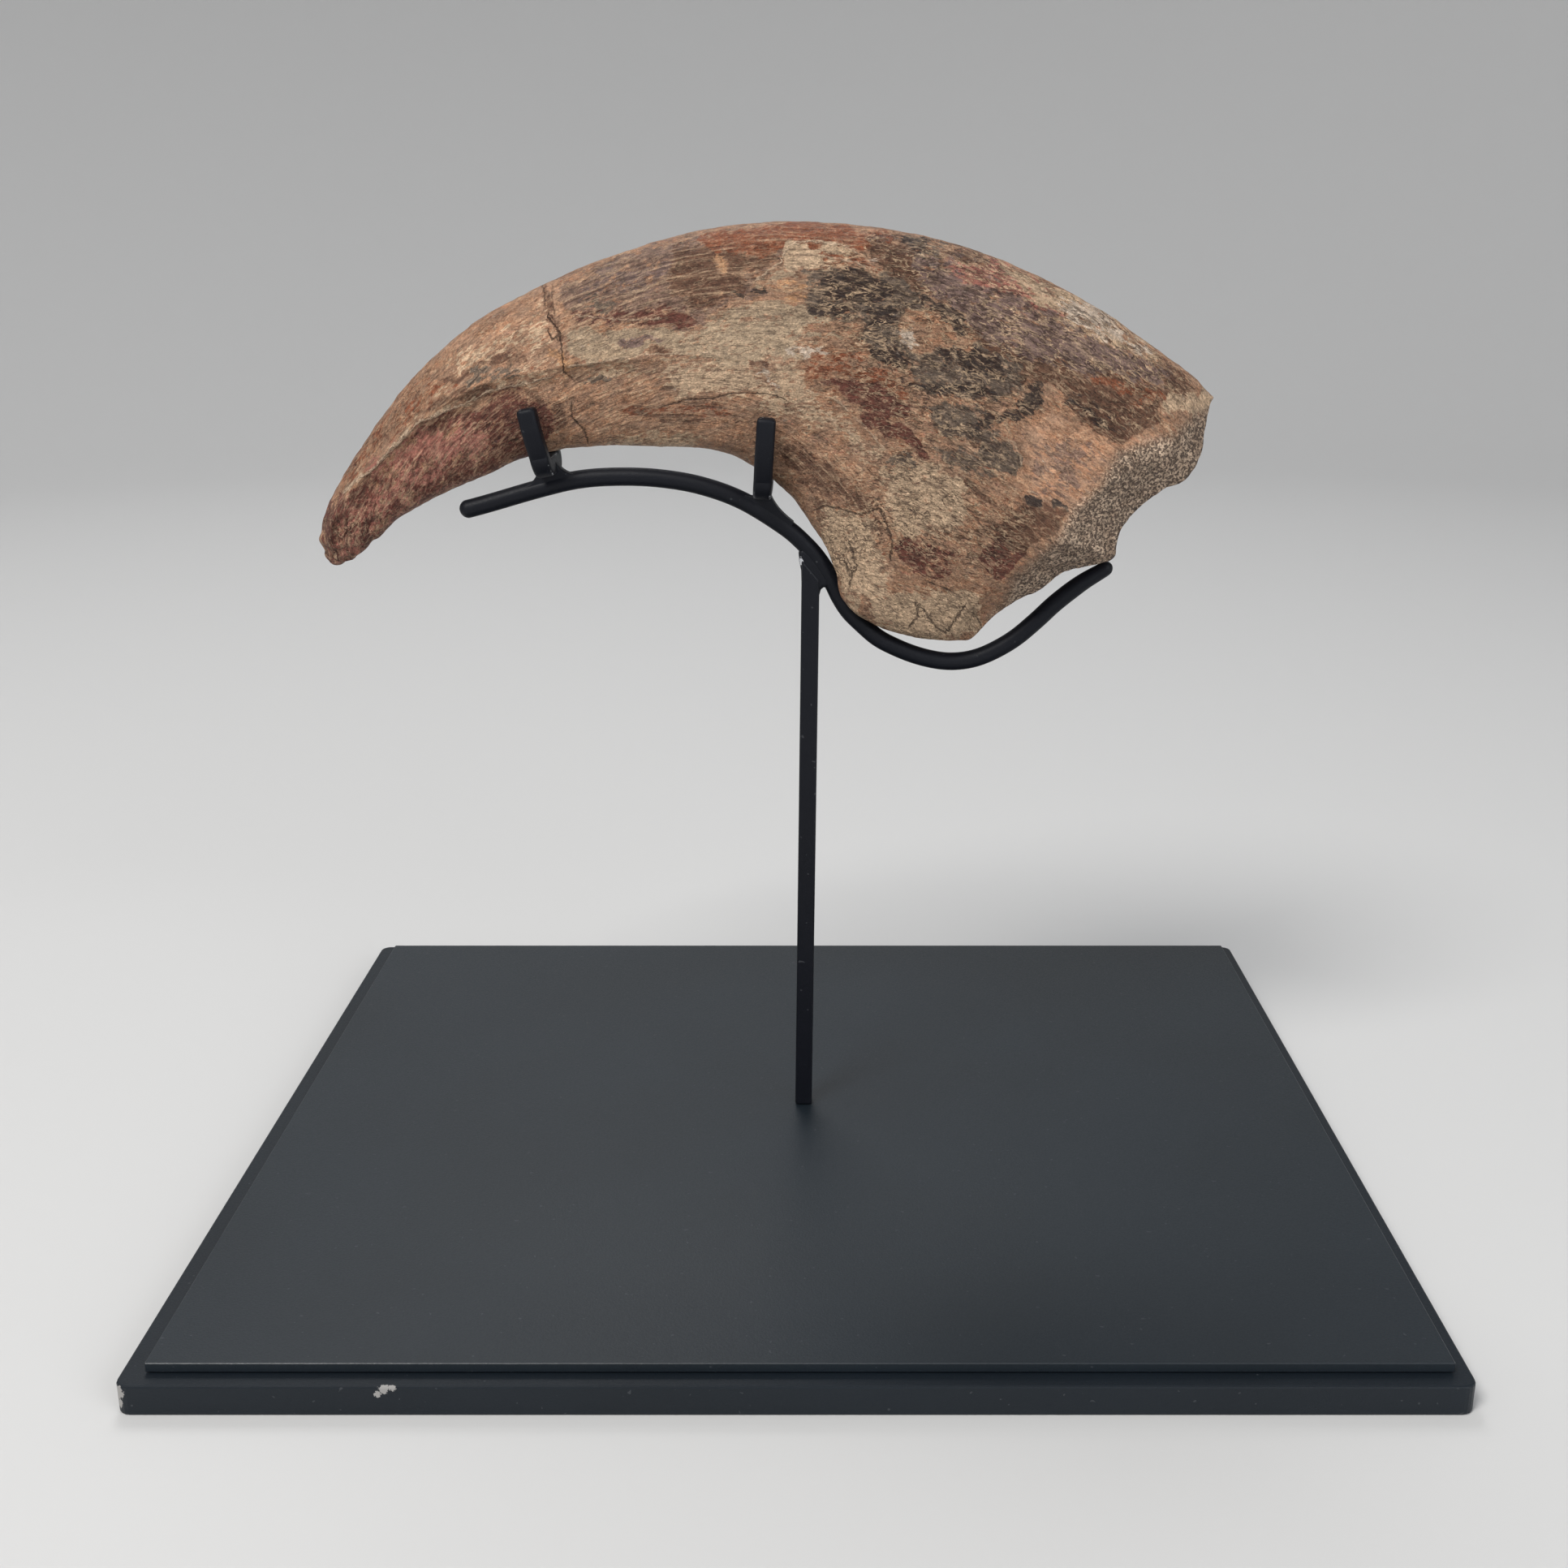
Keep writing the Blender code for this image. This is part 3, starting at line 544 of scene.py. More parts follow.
def claw_surface(section, angle):
    """Points of the claw's skin. The angle runs from the dorsal edge (0) by way of the near
    side to the ventral edge (pi) and back up the far side."""
    row = smooth_rows(SECTIONS, section)
    dorsal, ventral, half = row[:, 0:2], row[:, 2:4], row[:, 4]
    t = (1 - np.cos(angle)) / 2
    depth = np.linalg.norm(ventral - dorsal, axis=1)

    rim = along(RIM, t)
    chord = SECTIONS[LAST, 0:2] + (SECTIONS[LAST, 2:4] - SECTIONS[LAST, 0:2]) * t[:, None]
    bulge = ease(15.5, LAST, section)[:, None] ** 2
    flat = dorsal + (ventral - dorsal) * t[:, None] + bulge * (rim - chord)

    boxy = 0.9 * hump(section - 17.3, 2.6) * ease(0.5, 0.8, t)
    power = 2.3 + boxy
    width = half * (1 - np.abs(np.cos(angle)) ** power) ** (1 / power)
    keel = 0.13 + 0.24 * ease(11, 17, section)
    width *= 1 - keel * ease(0.42, 0.95, t)
    width *= 1 - 0.16 * ease(0.35, 0.0, t)

    to_rim = np.linalg.norm(rim - flat, axis=1)
    reach = 3 + (RIM_BEVEL - 3) * np.sin(math.pi * t) ** 0.7
    bevel = np.clip(1 - to_rim / reach, 0, 1) * ease(17.5, 18.5, section)
    width *= 1 - RIM_NARROWING * bevel

    side = np.where(np.sin(angle) < -1e-9, 1.0, -1.0)
    below = (t - np.interp(section, RIDGE[:, 0], RIDGE[:, 1])) * depth
    fade = ease(-0.5, 2.5, section) * ease(14.5, 8.5, section)
    relief = fade * RIDGE_HEIGHT * hump(below, RIDGE_SPREAD)
    relief += fade * CREST_HEIGHT * hump(below, CREST_SPREAD)
    groove_fade = ease(0, 3, section) * ease(11.0, 6.5, section)
    relief -= groove_fade * GROOVE_DEPTH * hump(below - GROOVE_DROP, GROOVE_SPREAD)

    spots = np.column_stack((flat[:, 0], side * 40, flat[:, 1]))
    rough = 0.55 + 0.7 * ease(16, 19, section) * ease(0.55, 0.9, t)
    relief += rough * lumps(spots, 19.0, 1)
    relief += 0.35 * lumps(spots, 7.0, 2)
    width += relief * np.minimum(np.abs(np.sin(angle)) * 1.6, 1)
    across = side * np.maximum(width, 0) * (np.abs(np.sin(angle)) > 1e-9)

    hollow = SADDLE_DEPTH * ease(14.4, 16.6, section) * ease(19.0, 17.4, section)
    hollow *= np.clip(1 - (across / SADDLE_HALF_WIDTH) ** 2, 0, 1) * ease(0.7, 0.9, t)
    flat = flat + (dorsal - ventral) / depth[:, None] * hollow[:, None]
    return np.column_stack((flat[:, 0], MOUNT_Y + across, flat[:, 1]))


def section_stops(count):
    """Section numbers that lie evenly along the claw's middle line, and their distances."""
    fine = np.linspace(0, LAST, 400)
    row = smooth_rows(SECTIONS, fine)
    middle = (row[:, 0:2] + row[:, 2:4]) / 2
    steps = np.linalg.norm(np.diff(middle, axis=0), axis=1)
    reached = np.concatenate(((0,), np.cumsum(steps)))
    even = np.linspace(0, reached[-1], count)
    return np.interp(even, reached, fine), even


def photo_pixels(points):
    """Where points in mm fall in the photograph."""
    c, s = math.cos(PITCH), math.sin(PITCH)
    away = points - CAMERA_PLACE
    ahead = away[:, 1] * c - away[:, 2] * s
    up = away[:, 1] * s + away[:, 2] * c
    return np.column_stack((CENTRE_PIXEL[0] + FOCAL_PIXELS * away[:, 0] / ahead,
                            CENTRE_PIXEL[1] - FOCAL_PIXELS * up / ahead))


def to_line(spots, route):
    """Distance of each spot from a line through the route's points."""
    best = np.full(len(spots), 1e9)
    for a, b in zip(route, route[1:]):
        a, b = np.array(a, float), np.array(b, float)
        run = b - a
        f = np.clip(((spots - a) @ run) / max(run @ run, 1e-9), 0, 1)
        best = np.minimum(best, np.linalg.norm(spots - a - f[:, None] * run, axis=1))
    return best


def inside(spots, outline):
    """Distance from an outline, positive inside it and negative outside."""
    closed = list(outline) + [outline[0]]
    odd = np.zeros(len(spots), bool)
    for (ax, ay), (bx, by) in zip(closed, closed[1:]):
        crosses = (spots[:, 1] < ay) != (spots[:, 1] < by)
        at = ax + (spots[:, 1] - ay) * (bx - ax) / ((by - ay) or 1e-9)
        odd ^= crosses & (spots[:, 0] < at)
    return np.where(odd, 1, -1) * to_line(spots, closed)


def tone_covers(spots):
    """How much of each colour lies on each spot, from 0 to 1. A later patch hides the ones
    before it as far as it covers them."""
    covers = {name: np.full(len(spots), STRAY_COVER.get(name, 0.0)) for name in PALETTE}

    def lay(name, value):
        for other in covers:
            covers[other] *= 1 - np.minimum(value, 1) ** 2 * (other != name)
        covers[name] = np.maximum(covers[name], value)

    for name, cover, soft, outline in AREAS:
        lay(name, cover * ease(-soft, soft, inside(spots, outline)))
    for name, cover, half, route in STREAKS:
        lay(name, cover * hump(to_line(spots, route), half * 1.2))
    return covers


def texture_strength(spots, kind):
    value = np.zeros(len(spots))
    for name, strength, soft, outline in TEXTURES:
        if name == kind:
            value = np.maximum(value, strength * ease(-soft, soft, inside(spots, outline)))
    return value


def line_fields(spots, lines):
    """Nearest line's distance, signed by side and in half widths, and its fading strength."""
    nearest = np.full(len(spots), 1e9)
    offset = np.full(len(spots), 99.0)
    strength = np.zeros(len(spots))
    for cover, half, route in lines:
        for a, b in zip(route, route[1:]):
            run = np.subtract(b, a)
            away = spots - np.array(a)
            gap = to_line(spots, (a, b))
            side = np.sign(run[0] * away[:, 1] - run[1] * away[:, 0])
            offset = np.where(gap < nearest, side * gap / half, offset)
            nearest = np.minimum(nearest, gap)
            strength = np.maximum(strength, cover * hump(gap, 6.0))
    return offset, strength


def flaked_depth(spots):
    value = np.zeros(len(spots))
    for depth, outline in FLAKES:
        value = np.maximum(value, depth * ease(-2, 3, inside(spots, outline)))
    return value


def pit_depth(points, spots):
    value = np.zeros(len(points))
    for place, radius, depth in PITS:
        gap = np.linalg.norm(spots - np.array(place), axis=1) / PIXELS_PER_MM
        value = np.maximum(value, depth * hump(gap, radius))
    return value


def mirrored_spots(points, angle):
    """Photograph places for both sides. The far side reads the near side's places, drifting
    away from them between its edges, so that the two sides aren't alike."""
    folded = points.copy()
    far = folded[:, 1] > MOUNT_Y
    folded[far, 1] = 2 * MOUNT_Y - folded[far, 1]
    spots = photo_pixels(folded)
    drift = np.where(far, np.sin(angle) ** 2, 0.0)
    slow = np.column_stack((points[:, 0], points[:, 2], np.zeros(len(points))))
    for axis, (steady, wander, size, seed) in enumerate(FAR_DRIFT):
        spots[:, axis] += drift * (steady + wander * lumps(slow, size, seed))
    return spots


def ragged_spots(points, spots):
    """The same places pushed about a little, so that patches get natural outlines."""
    moved = spots.copy()
    for scale, push, seed in RAGGED:
        moved[:, 0] += push * lumps(points, scale, seed)
        moved[:, 1] += push * lumps(points, scale, seed + 1)
    return moved


def grid_normals(points):
    """Outward normals of a grid of points whose second axis goes round."""
    along_claw = np.gradient(points, axis=0)
    around_claw = np.roll(points, -1, axis=1) - np.roll(points, 1, axis=1)
    normal = np.cross(around_claw, along_claw)
    return normal / np.maximum(np.linalg.norm(normal, axis=2, keepdims=True), 1e-9)


def side_angles(count):
    """Angles round the claw, set closer together half way down each side."""
    x = np.linspace(0, 1, count // 2, endpoint=False)
    near = math.pi * x + SIDE_EVENNESS * np.sin(2 * math.pi * x)
    return np.concatenate((near, 2 * math.pi - np.append(math.pi, near[:0:-1])))


def fine_relief(points, spots, sponge, section):
    """Small real relief in mm: flaked layers, cracks, pits, striations and spongy bone."""
    relief = -flaked_depth(spots)
    for height, lines in ((-0.22, CRACKS), (0.18, CRESTS)):
        offset, strength = line_fields(spots, lines)
        relief += height * strength * hump(offset, 2.6)
    relief -= pit_depth(points, spots)
    stretched = np.column_stack((points[:, 0] * 0.5 + points[:, 2] * 0.1, points[:, 1] * 0.6,
                                 points[:, 2] * 0.9))
    relief += 0.22 * lumps(stretched, 3.1, 3)
    relief += (0.12 + 0.16 * sponge) * lumps(points, 1.6, 4)
    worn_tip = ease(2.6, 0.4, section)
    relief += worn_tip * (0.7 * lumps(points, 3.4, 6) + 0.35 * lumps(points, 1.8, 5))
    return relief


def claw_grid():
    """Points of the claw with their section, angle, distance along, share across and depth."""
    sections, distances = section_stops(RINGS)
    angles = side_angles(AROUND)
    section = np.repeat(sections, AROUND)
    angle = np.tile(angles, RINGS)
    points = claw_surface(section, angle)
    row = smooth_rows(SECTIONS, section)
    depth = np.linalg.norm(row[:, 2:4] - row[:, 0:2], axis=1)
    across = (1 - np.cos(angle)) / 2
    return points, section, angle, np.repeat(distances, AROUND), across, depth


def rough_tip(first_ring):
    """Points that round off the blunt tip: its point, then rings up to the first section."""
    centre = first_ring.mean(axis=0)
    point = np.array((TIP_POINT[0], MOUNT_Y, TIP_POINT[1]))
    turns = [math.pi / 2 * (TIP_RINGS - k) / (TIP_RINGS + 1) for k in range(TIP_RINGS)]
    rings = [centre + (first_ring - centre) * math.cos(a) + (point - centre) * math.sin(a)
             for a in turns]
    points = np.vstack([point[None, :]] + rings)
    outward = points - centre
    outward /= np.linalg.norm(outward, axis=1, keepdims=True)
    return points + outward * (0.4 * lumps(points, 2.6, 7) - 0.3)[:, None]


def wrist_face(ring):
    """Rows of points across the wrist end, with two shallow hollows and a keel between."""
    half = AROUND // 2
    outward = np.array((1, 0, -1)) / math.sqrt(2)
    k = np.arange(1, CAP_ACROSS) / CAP_ACROSS
    v = np.abs(2 * k - 1)
    rise = KEEL_HEIGHT * (1 - v) ** 2 - FACET_DEPTH * np.sin(math.pi * v) ** 2
    rows = []
    for j in range(1, half):
        near, far = ring[j], ring[AROUND - j]
        t = j / half
        t = (1 - math.cos(math.pi * t + SIDE_EVENNESS * math.sin(2 * math.pi * t))) / 2
        strength = math.sin(math.pi * min(t / JOINT_SPAN, 1))
        flat = near + (far - near) * k[:, None]
        row = flat + outward * (rise * strength)[:, None]
        row += outward * (0.3 * lumps(row, 3.0, 8) + 0.22 * lumps(row, 1.3, 9))[:, None]
        rows.append(row)
    return np.array(rows)


def claw_faces(rings, cap_rows):
    """Corner numbers of the claw's faces. Points come as the tip, the rings and the cap."""
    half = AROUND // 2
    first = 1
    j = np.arange(AROUND)
    before = (j - 1) % AROUND
    faces = [(0, first + a, first + b) for a, b in zip(before, j)]
    for i in range(rings - 1):
        low, high = first + i * AROUND, first + (i + 1) * AROUND
        faces += list(zip(low + before, high + before, high + j, low + j))
    end = first + (rings - 1) * AROUND
    cap = end + AROUND

    def corner(row, k):
        if k == 0:
            return end + row + 1
        if k == CAP_ACROSS:
            return end + AROUND - 1 - row
        return cap + row * (CAP_ACROSS - 1) + k - 1

    for row in range(cap_rows - 1):
        for k in range(CAP_ACROSS):
            faces.append((corner(row, k), corner(row, k + 1), corner(row + 1, k + 1),
                          corner(row + 1, k)))
    for k in range(CAP_ACROSS):
        faces.append((end, corner(0, k + 1), corner(0, k)))
        faces.append((end + half, corner(cap_rows - 1, k), corner(cap_rows - 1, k + 1)))
    return [tuple(int(c) for c in face) for face in faces]


def put_attribute(mesh, name, values):
    """Store one number or one vector for each point of a mesh."""
    values = np.asarray(values, np.float32)
    if values.ndim == 1:
        mesh.attributes.new(name, "FLOAT", "POINT").data.foreach_set("value", values)
    else:
        layer = mesh.attributes.new(name, "FLOAT_VECTOR", "POINT")
        layer.data.foreach_set("vector", values.ravel())


def new_piece(name, mesh, material, slot, *replaced):
    piece = bpy.data.objects.new(name, mesh)
    bpy.context.scene.collection.objects.link(piece)
    mesh.materials.append(material)
    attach(piece, "root")
    for node in replaced:
        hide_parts(node)
    return piece


def outward_faces(mesh):
    bm = bmesh.new()
    bm.from_mesh(mesh)
    bmesh.ops.recalc_face_normals(bm, faces=bm.faces)
    bm.to_mesh(mesh)
    bm.free()


def claw_body():
    """Every point of the claw with its photograph place, flow and spongy share, and its faces.
    The flow gives the distance along the claw, across it and sideways, for the whole depth and
    for the part of it where the fibres run along."""
    points, section, angle, distance, across, depth = claw_grid()
    spots = mirrored_spots(points, angle)
    sponge = ease(-12, 8, inside(spots, SPONGE_EDGE))
    relief = fine_relief(points, spots, sponge, section)
    normals = grid_normals(points.reshape(RINGS, AROUND, 3)).reshape(-1, 3)
    points = points + normals * relief[:, None]
    tip = rough_tip(points[:AROUND])
    face = wrist_face(points[-AROUND:]).reshape(-1, 3)
    whole = np.vstack((tip, points, face))
    whole[:, 2] = np.minimum(whole[:, 2], CAD_BOX[1][2] / MM)

    tip_spots = mirrored_spots(tip, np.zeros(len(tip)))
    spots = np.vstack((tip_spots, spots, np.full((len(face), 2), BEYOND_WRIST)))
    sponge = np.concatenate((np.zeros(len(tip)), sponge, np.ones(len(face))))
    flows = {}
    for name, deepest in (("grain", 999.0), ("fan", FAN_DEPTH)):
        flow = np.column_stack((distance, across * np.minimum(depth, deepest), points[:, 1]))
        flows[name] = np.vstack((tip, flow, face))
    return whole, spots, flows, sponge, claw_faces(RINGS + TIP_RINGS, AROUND // 2 - 1)


def make_claw():
    """Fine mesh of the claw, with what its material reads from its points."""
    points, spots, flows, sponge, faces = claw_body()
    mesh = bpy.data.meshes.new("claw_bone")
    mesh.from_pydata((points * MM).tolist(), [], faces)
    outward_faces(mesh)
    mesh.shade_smooth()

    put_attribute(mesh, "sponge", sponge)
    for name, flow in flows.items():
        put_attribute(mesh, name, flow)
    for name, lines in (("crack", CRACKS), ("crest", CRESTS)):
        offset, strength = line_fields(spots, lines)
        put_attribute(mesh, name + "_offset", offset)
        put_attribute(mesh, name, strength)
    patches = ragged_spots(points, spots)
    for kind in ("fibre", "net", "calm"):
        put_attribute(mesh, kind, texture_strength(patches, kind))
    for name, cover in tone_covers(patches).items():
        put_attribute(mesh, "tone_" + name, cover)
    return new_piece("claw_bone", mesh, bone_material(), "fossil_bone", "claw")


class Nodes:
    """Writes a material's nodes as short calls that return sockets."""

    def __init__(self, name):
        self.material = bpy.data.materials.new(name)
        self.material.use_nodes = True
        self.tree = self.material.node_tree
        self.shader = self.tree.nodes["Principled BSDF"]

    def add(self, kind, settings=None, **inputs):
        node = self.tree.nodes.new(kind)
        for key, value in (settings or {}).items():
            setattr(node, key, value)
        for key, value in inputs.items():
            self.set(node.inputs[key.replace("_", " ")], value)
        return node

    def set(self, socket, value):
        if isinstance(value, bpy.types.NodeSocket):
            self.tree.links.new(value, socket)
        else:
            socket.default_value = value

    def math(self, operation, *values):
        node = self.add("ShaderNodeMath", {"operation": operation})
        for socket, value in zip(node.inputs, values):
            self.set(socket, value)
        return node.outputs[0]

    def times(self, a, b):
        return self.math("MULTIPLY", a, b)

    def about_zero(self, value, reach):
        """A noise value moved so that its middle is zero, and scaled."""
        return self.times(self.math("SUBTRACT", value, 0.5), reach)

    def step(self, value, low, high, bottom=0.0, top=1.0):
        """Smooth step of a value from low to high, scaled to run from bottom to top."""
        node = self.add("ShaderNodeMapRange", {"interpolation_type": "SMOOTHSTEP"})
        self.set(node.inputs["Value"], value)
        self.set(node.inputs["From Min"], low)
        self.set(node.inputs["From Max"], high)
        self.set(node.inputs["To Min"], bottom)
        self.set(node.inputs["To Max"], top)
        return node.outputs[0]

    def mix(self, factor, a, b, blend="MIX"):
        node = self.add("ShaderNodeMix", {"data_type": "RGBA", "blend_type": blend})
        self.set(node.inputs[0], factor)
        self.set(node.inputs[6], a)
        self.set(node.inputs[7], b)
        return node.outputs[2]

    def attribute(self, name, output="Fac"):
        return self.add("ShaderNodeAttribute", {"attribute_name": name}).outputs[output]

    def place(self, stretch=(1, 1, 1), vector=None):
        """Position in mm, scaled along each axis."""
        if vector is None:
            vector = self.add("ShaderNodeTexCoord").outputs["Object"]
            stretch = tuple(s / MM for s in stretch)
        return self.add("ShaderNodeMapping", Vector=vector, Scale=stretch).outputs[0]

    def noise(self, vector, size, detail=3.0, roughness=0.55, distortion=0.0):
        return self.add("ShaderNodeTexNoise", Vector=vector, Scale=1 / size, Detail=detail,
                        Roughness=roughness, Distortion=distortion).outputs["Fac"]

    def tints(self, vector, size, detail, roughness):
        """Three noises that have nothing to do with each other."""
        colour = self.add("ShaderNodeTexNoise", Vector=vector, Scale=1 / size, Detail=detail,
                          Roughness=roughness).outputs["Color"]
        return list(self.add("ShaderNodeSeparateColor", Color=colour).outputs)

    def bump(self, height, distance, normal=None):
        node = self.add("ShaderNodeBump", Height=height, Distance=distance)
        if normal is not None:
            self.set(node.inputs["Normal"], normal)
        return node.outputs[0]


def linear(colour):
    """sRGB numbers up to 255 as a linear colour."""
    parts = [c / 255 for c in colour]
    return (*(p / 12.92 if p <= 0.04045 else ((p + 0.055) / 1.055) ** 2.4 for p in parts), 1)


def bone_tones(n, grain):
    """Colour of the bone: the base tan, then each colour over it where its cover says."""
    broad = n.tints(n.place((0.6, 1, 1), grain), 3.2, 5, 0.66)
    small = n.tints(n.place((0.5, 1, 1), grain), 0.95, 4, 0.62)
    speckles = []
    for k in range(3):
        wide = n.about_zero(broad[k], 1.4)
        tight = n.about_zero(small[(k + 1) % 3], 1.6)
        speckles.append(n.math("ADD", wide, tight))
        speckles.append(n.math("SUBTRACT", tight, wide))
    base = [linear(PALETTE[name]) for name in ("tan", "warm_tan")]
    colour = n.mix(n.step(broad[0], 0.36, 0.64), *base)
    for i, (name, shade) in enumerate(list(PALETTE.items())[2:]):
        level = n.math("ADD", n.attribute("tone_" + name), speckles[(i * 5) % 6])
        colour = n.mix(n.step(level, 0.40, 0.60, 0.0, 0.92), colour, linear(shade))
    return colour, broad, small


def winding_lines(n, grain, stretch, size, detail, width):
    """Thin lines that wind about, from where a noise crosses its middle value."""
    wave = n.noise(n.place((stretch, 1, 1), grain), size, detail, 0.5, 0.7)
    from_middle = n.math("ABSOLUTE", n.math("SUBTRACT", wave, 0.5))
    return n.step(from_middle, width * 0.25, width, 1.0, 0.0)


def surface_line(n, name, waver, breaks):
    """Thin broken line where the signed distance stored on the points passes through zero."""
    offset = n.math("ADD", n.attribute(name + "_offset"), n.about_zero(waver, 9.0))
    thin = n.step(n.math("ABSOLUTE", offset), 0.3, 1.5, 1.0, 0.0)
    strength = n.math("MULTIPLY_ADD", breaks, 1.4, n.attribute(name))
    return n.times(thin, n.step(strength, 1.05, 1.6))


def bone_detail(n, grain, broad):
    """Fine patterns of the bone, each with how strongly it shows, as sockets by name."""
    net = n.attribute("net")
    lively = n.math("SUBTRACT", 1.0, n.attribute("calm"))
    fibre = n.times(n.attribute("fibre"), lively)
    furrows = n.times(winding_lines(n, grain, 0.5, 1.4, 3, 0.065),
                      n.step(broad[2], 0.42, 0.56, 0.15, 1.0))
    threads = n.times(winding_lines(n, grain, 0.45, 1.3, 3, 0.06),
                      n.step(broad[0], 0.42, 0.56, 0.15, 1.0))
    fan = n.attribute("fan", "Vector")
    return {
        "fibre": fibre,
        "streaks": n.noise(n.place((0.075, 1, 1), fan), 0.85, 4, 0.62, 0.15),
        "flecked": n.times(n.math("MULTIPLY_ADD", fibre, -0.5, 1.0), lively),
        "flaky": n.noise(n.place((0.6, 1, 1), grain), 1.25, 5, 0.7, 0.3),
        "furrows": n.times(furrows, n.math("MULTIPLY_ADD", net, 0.44, 0.26)),
        "threads": n.times(threads, n.math("MULTIPLY_ADD", net, 0.44, 0.22)),
    }


def detailed_colour(n, colour, detail):
    """The tones with dark and pale flecks, streaks, furrows and threads over them. The dark lies
    where the bump sinks and the pale where it rises: partly the bone's own flecking, partly
    painted shade and painted highlight of that fine relief.
    """
    dark, pale = linear(FURROW_DARK_AND_SHADE), linear(THREAD_PALE_AND_HIGHLIGHT)
    for pattern, where, most_dark, most_pale in (("flaky", "flecked", 0.60, 0.36),
                                                 ("streaks", "fibre", 0.62, 0.46)):
        low = n.step(detail[pattern], 0.35, 0.47, most_dark, 0.0)
        high = n.step(detail[pattern], 0.53, 0.65, 0.0, most_pale)
        colour = n.mix(n.times(low, detail[where]), colour, dark)
        colour = n.mix(n.times(high, detail[where]), colour, pale)
    return n.mix(detail["threads"], n.mix(detail["furrows"], colour, dark), pale)


def with_sponge(n, colour, tint):
    """A colour with the spongy bone over it, its pores darkened as painted shade, and the depth of
    those pores.
    """
    sponge = n.attribute("sponge")
    pores = n.step(n.noise(n.place(), 0.7, 2, 0.55, 0.6), 0.44, 0.53, 1.0, 0.0)
    beige = n.mix(n.step(tint, 0.35, 0.65), *(linear(tone) for tone in SPONGE_TONES))
    spongy = n.mix(n.times(pores, 0.82), beige, linear(PORE_SHADE))
    return n.mix(sponge, colour, spongy), n.times(sponge, pores)


def bone_material():
    """Mottled fossil bone with fibres, flecks, cracks and open spongy bone, with painted shade in
    its hollows and painted highlights on its raised lines.
    """
    n = Nodes("fossil_bone")
    grain = n.attribute("grain", "Vector")
    colour, broad, small = bone_tones(n, grain)
    detail = bone_detail(n, grain, broad)
    crest = surface_line(n, "crest", small[1], broad[2])
    crack = surface_line(n, "crack", small[0], broad[1])
    colour = detailed_colour(n, colour, detail)
    # Crest lines: partly pale bone, partly painted highlight on the crests
    colour = n.mix(n.times(crest, 0.85), colour, linear(CREST_PALE_AND_HIGHLIGHT))
    colour, pores = with_sponge(n, colour, broad[1])
    # Cracks darkened as painted shade in their grooves
    colour = n.mix(n.times(crack, 0.75), colour, linear(CRACK_SHADE))

    fine = n.noise(n.place(), 0.45, 3, 0.6)
    shade = n.times(n.step(fine, 0.25, 0.75, 0.72, 1.30), n.step(small[2], 0.3, 0.7, 0.74, 1.28))
    red, green, blue = (n.times(shade, share) for share in (1.02, 0.98, 0.97))
    shade = n.add("ShaderNodeCombineColor", Red=red, Green=green, Blue=blue).outputs[0]
    n.set(n.shader.inputs["Base Color"], n.mix(1.0, colour, shade, "MULTIPLY"))
    n.set(n.shader.inputs["Roughness"], n.step(fine, 0.2, 0.8, 0.45, 0.7))
    n.shader.inputs["Specular IOR Level"].default_value = 0.35

    plates = n.math("MULTIPLY_ADD", detail["flaky"], 2.0, detail["threads"])
    height = n.times(plates, detail["flecked"])
    for part, amount in ((n.times(detail["streaks"], detail["fibre"]), 2.0), (crest, 0.6),
                         (detail["furrows"], -1.0), (crack, -1.0), (pores, -0.9)):
        height = n.math("MULTIPLY_ADD", part, amount, height)
    n.set(n.shader.inputs["Normal"], n.bump(height, 0.0009, n.bump(fine, 0.00015)))
    return n.material


def paint_material(name, colour, roughness, shine, grain_size, grain_depth, wear_and_highlight=None):
    """Black powder coat: fine grain like orange peel, a few dust specks, and worn places and
    painted highlights where a function for them is given.
    """
    n = Nodes(name)
    place = n.place()
    fine = n.noise(place, grain_size, 2, 0.6)
    slow = n.noise(place, 60.0, 2, 0.5)
    dark, light = (tuple(c * k for c in colour) for k in (0.96, 1.04))
    paint = n.mix(n.step(slow, 0.3, 0.7), linear(dark), linear(light))
    dust = n.step(n.noise(place, 1.1, 0, 0.5), 0.825, 0.86)
    paint = n.mix(n.times(dust, 0.22), paint, linear(DUST))
    rough = n.step(fine, 0.2, 0.8, roughness - 0.06, roughness + 0.08)
    if wear_and_highlight is not None:
        paint, rough = wear_and_highlight(n, paint, rough)
    n.set(n.shader.inputs["Base Color"], paint)
    n.set(n.shader.inputs["Roughness"], rough)
    n.shader.inputs["Specular IOR Level"].default_value = shine
    n.set(n.shader.inputs["Normal"], n.bump(fine, grain_depth))
    return n.material


def chip(n, centre, radius, raggedness=0.6):
    """Mask of a small irregular chip about a place given in mm."""
    place = n.place()
    offset = n.add("ShaderNodeVectorMath", {"operation": "DISTANCE"})
    n.set(offset.inputs[0], place)
    n.set(offset.inputs[1], centre)
    ragged = n.about_zero(n.noise(place, radius * 0.7, 3, 0.6), radius * raggedness * 4)
    gap = n.math("ADD", offset.outputs["Value"], ragged)
    return n.step(gap, radius * 0.9, radius * 1.1, 1.0, 0.0)


# Chips in the lower plate's paint: place and radius in mm
BASE_CHIPS = (
    ((-152.0, -126.4, 5.6), 1.8),
    ((-151.8, -126.2, 3.0), 1.2),
    ((-92.0, -127.0, 6.9), 1.1),
    ((-90.0, -127.0, 7.3), 0.8),
    ((-93.4, -127.0, 5.6), 0.8),
)


def base_wear(n, paint, rough):
    """Chips that show the primer under the lower plate's paint."""
    for centre, radius in BASE_CHIPS:
        paint = n.mix(chip(n, centre, radius), paint, linear(PRIMER))
    return paint, rough


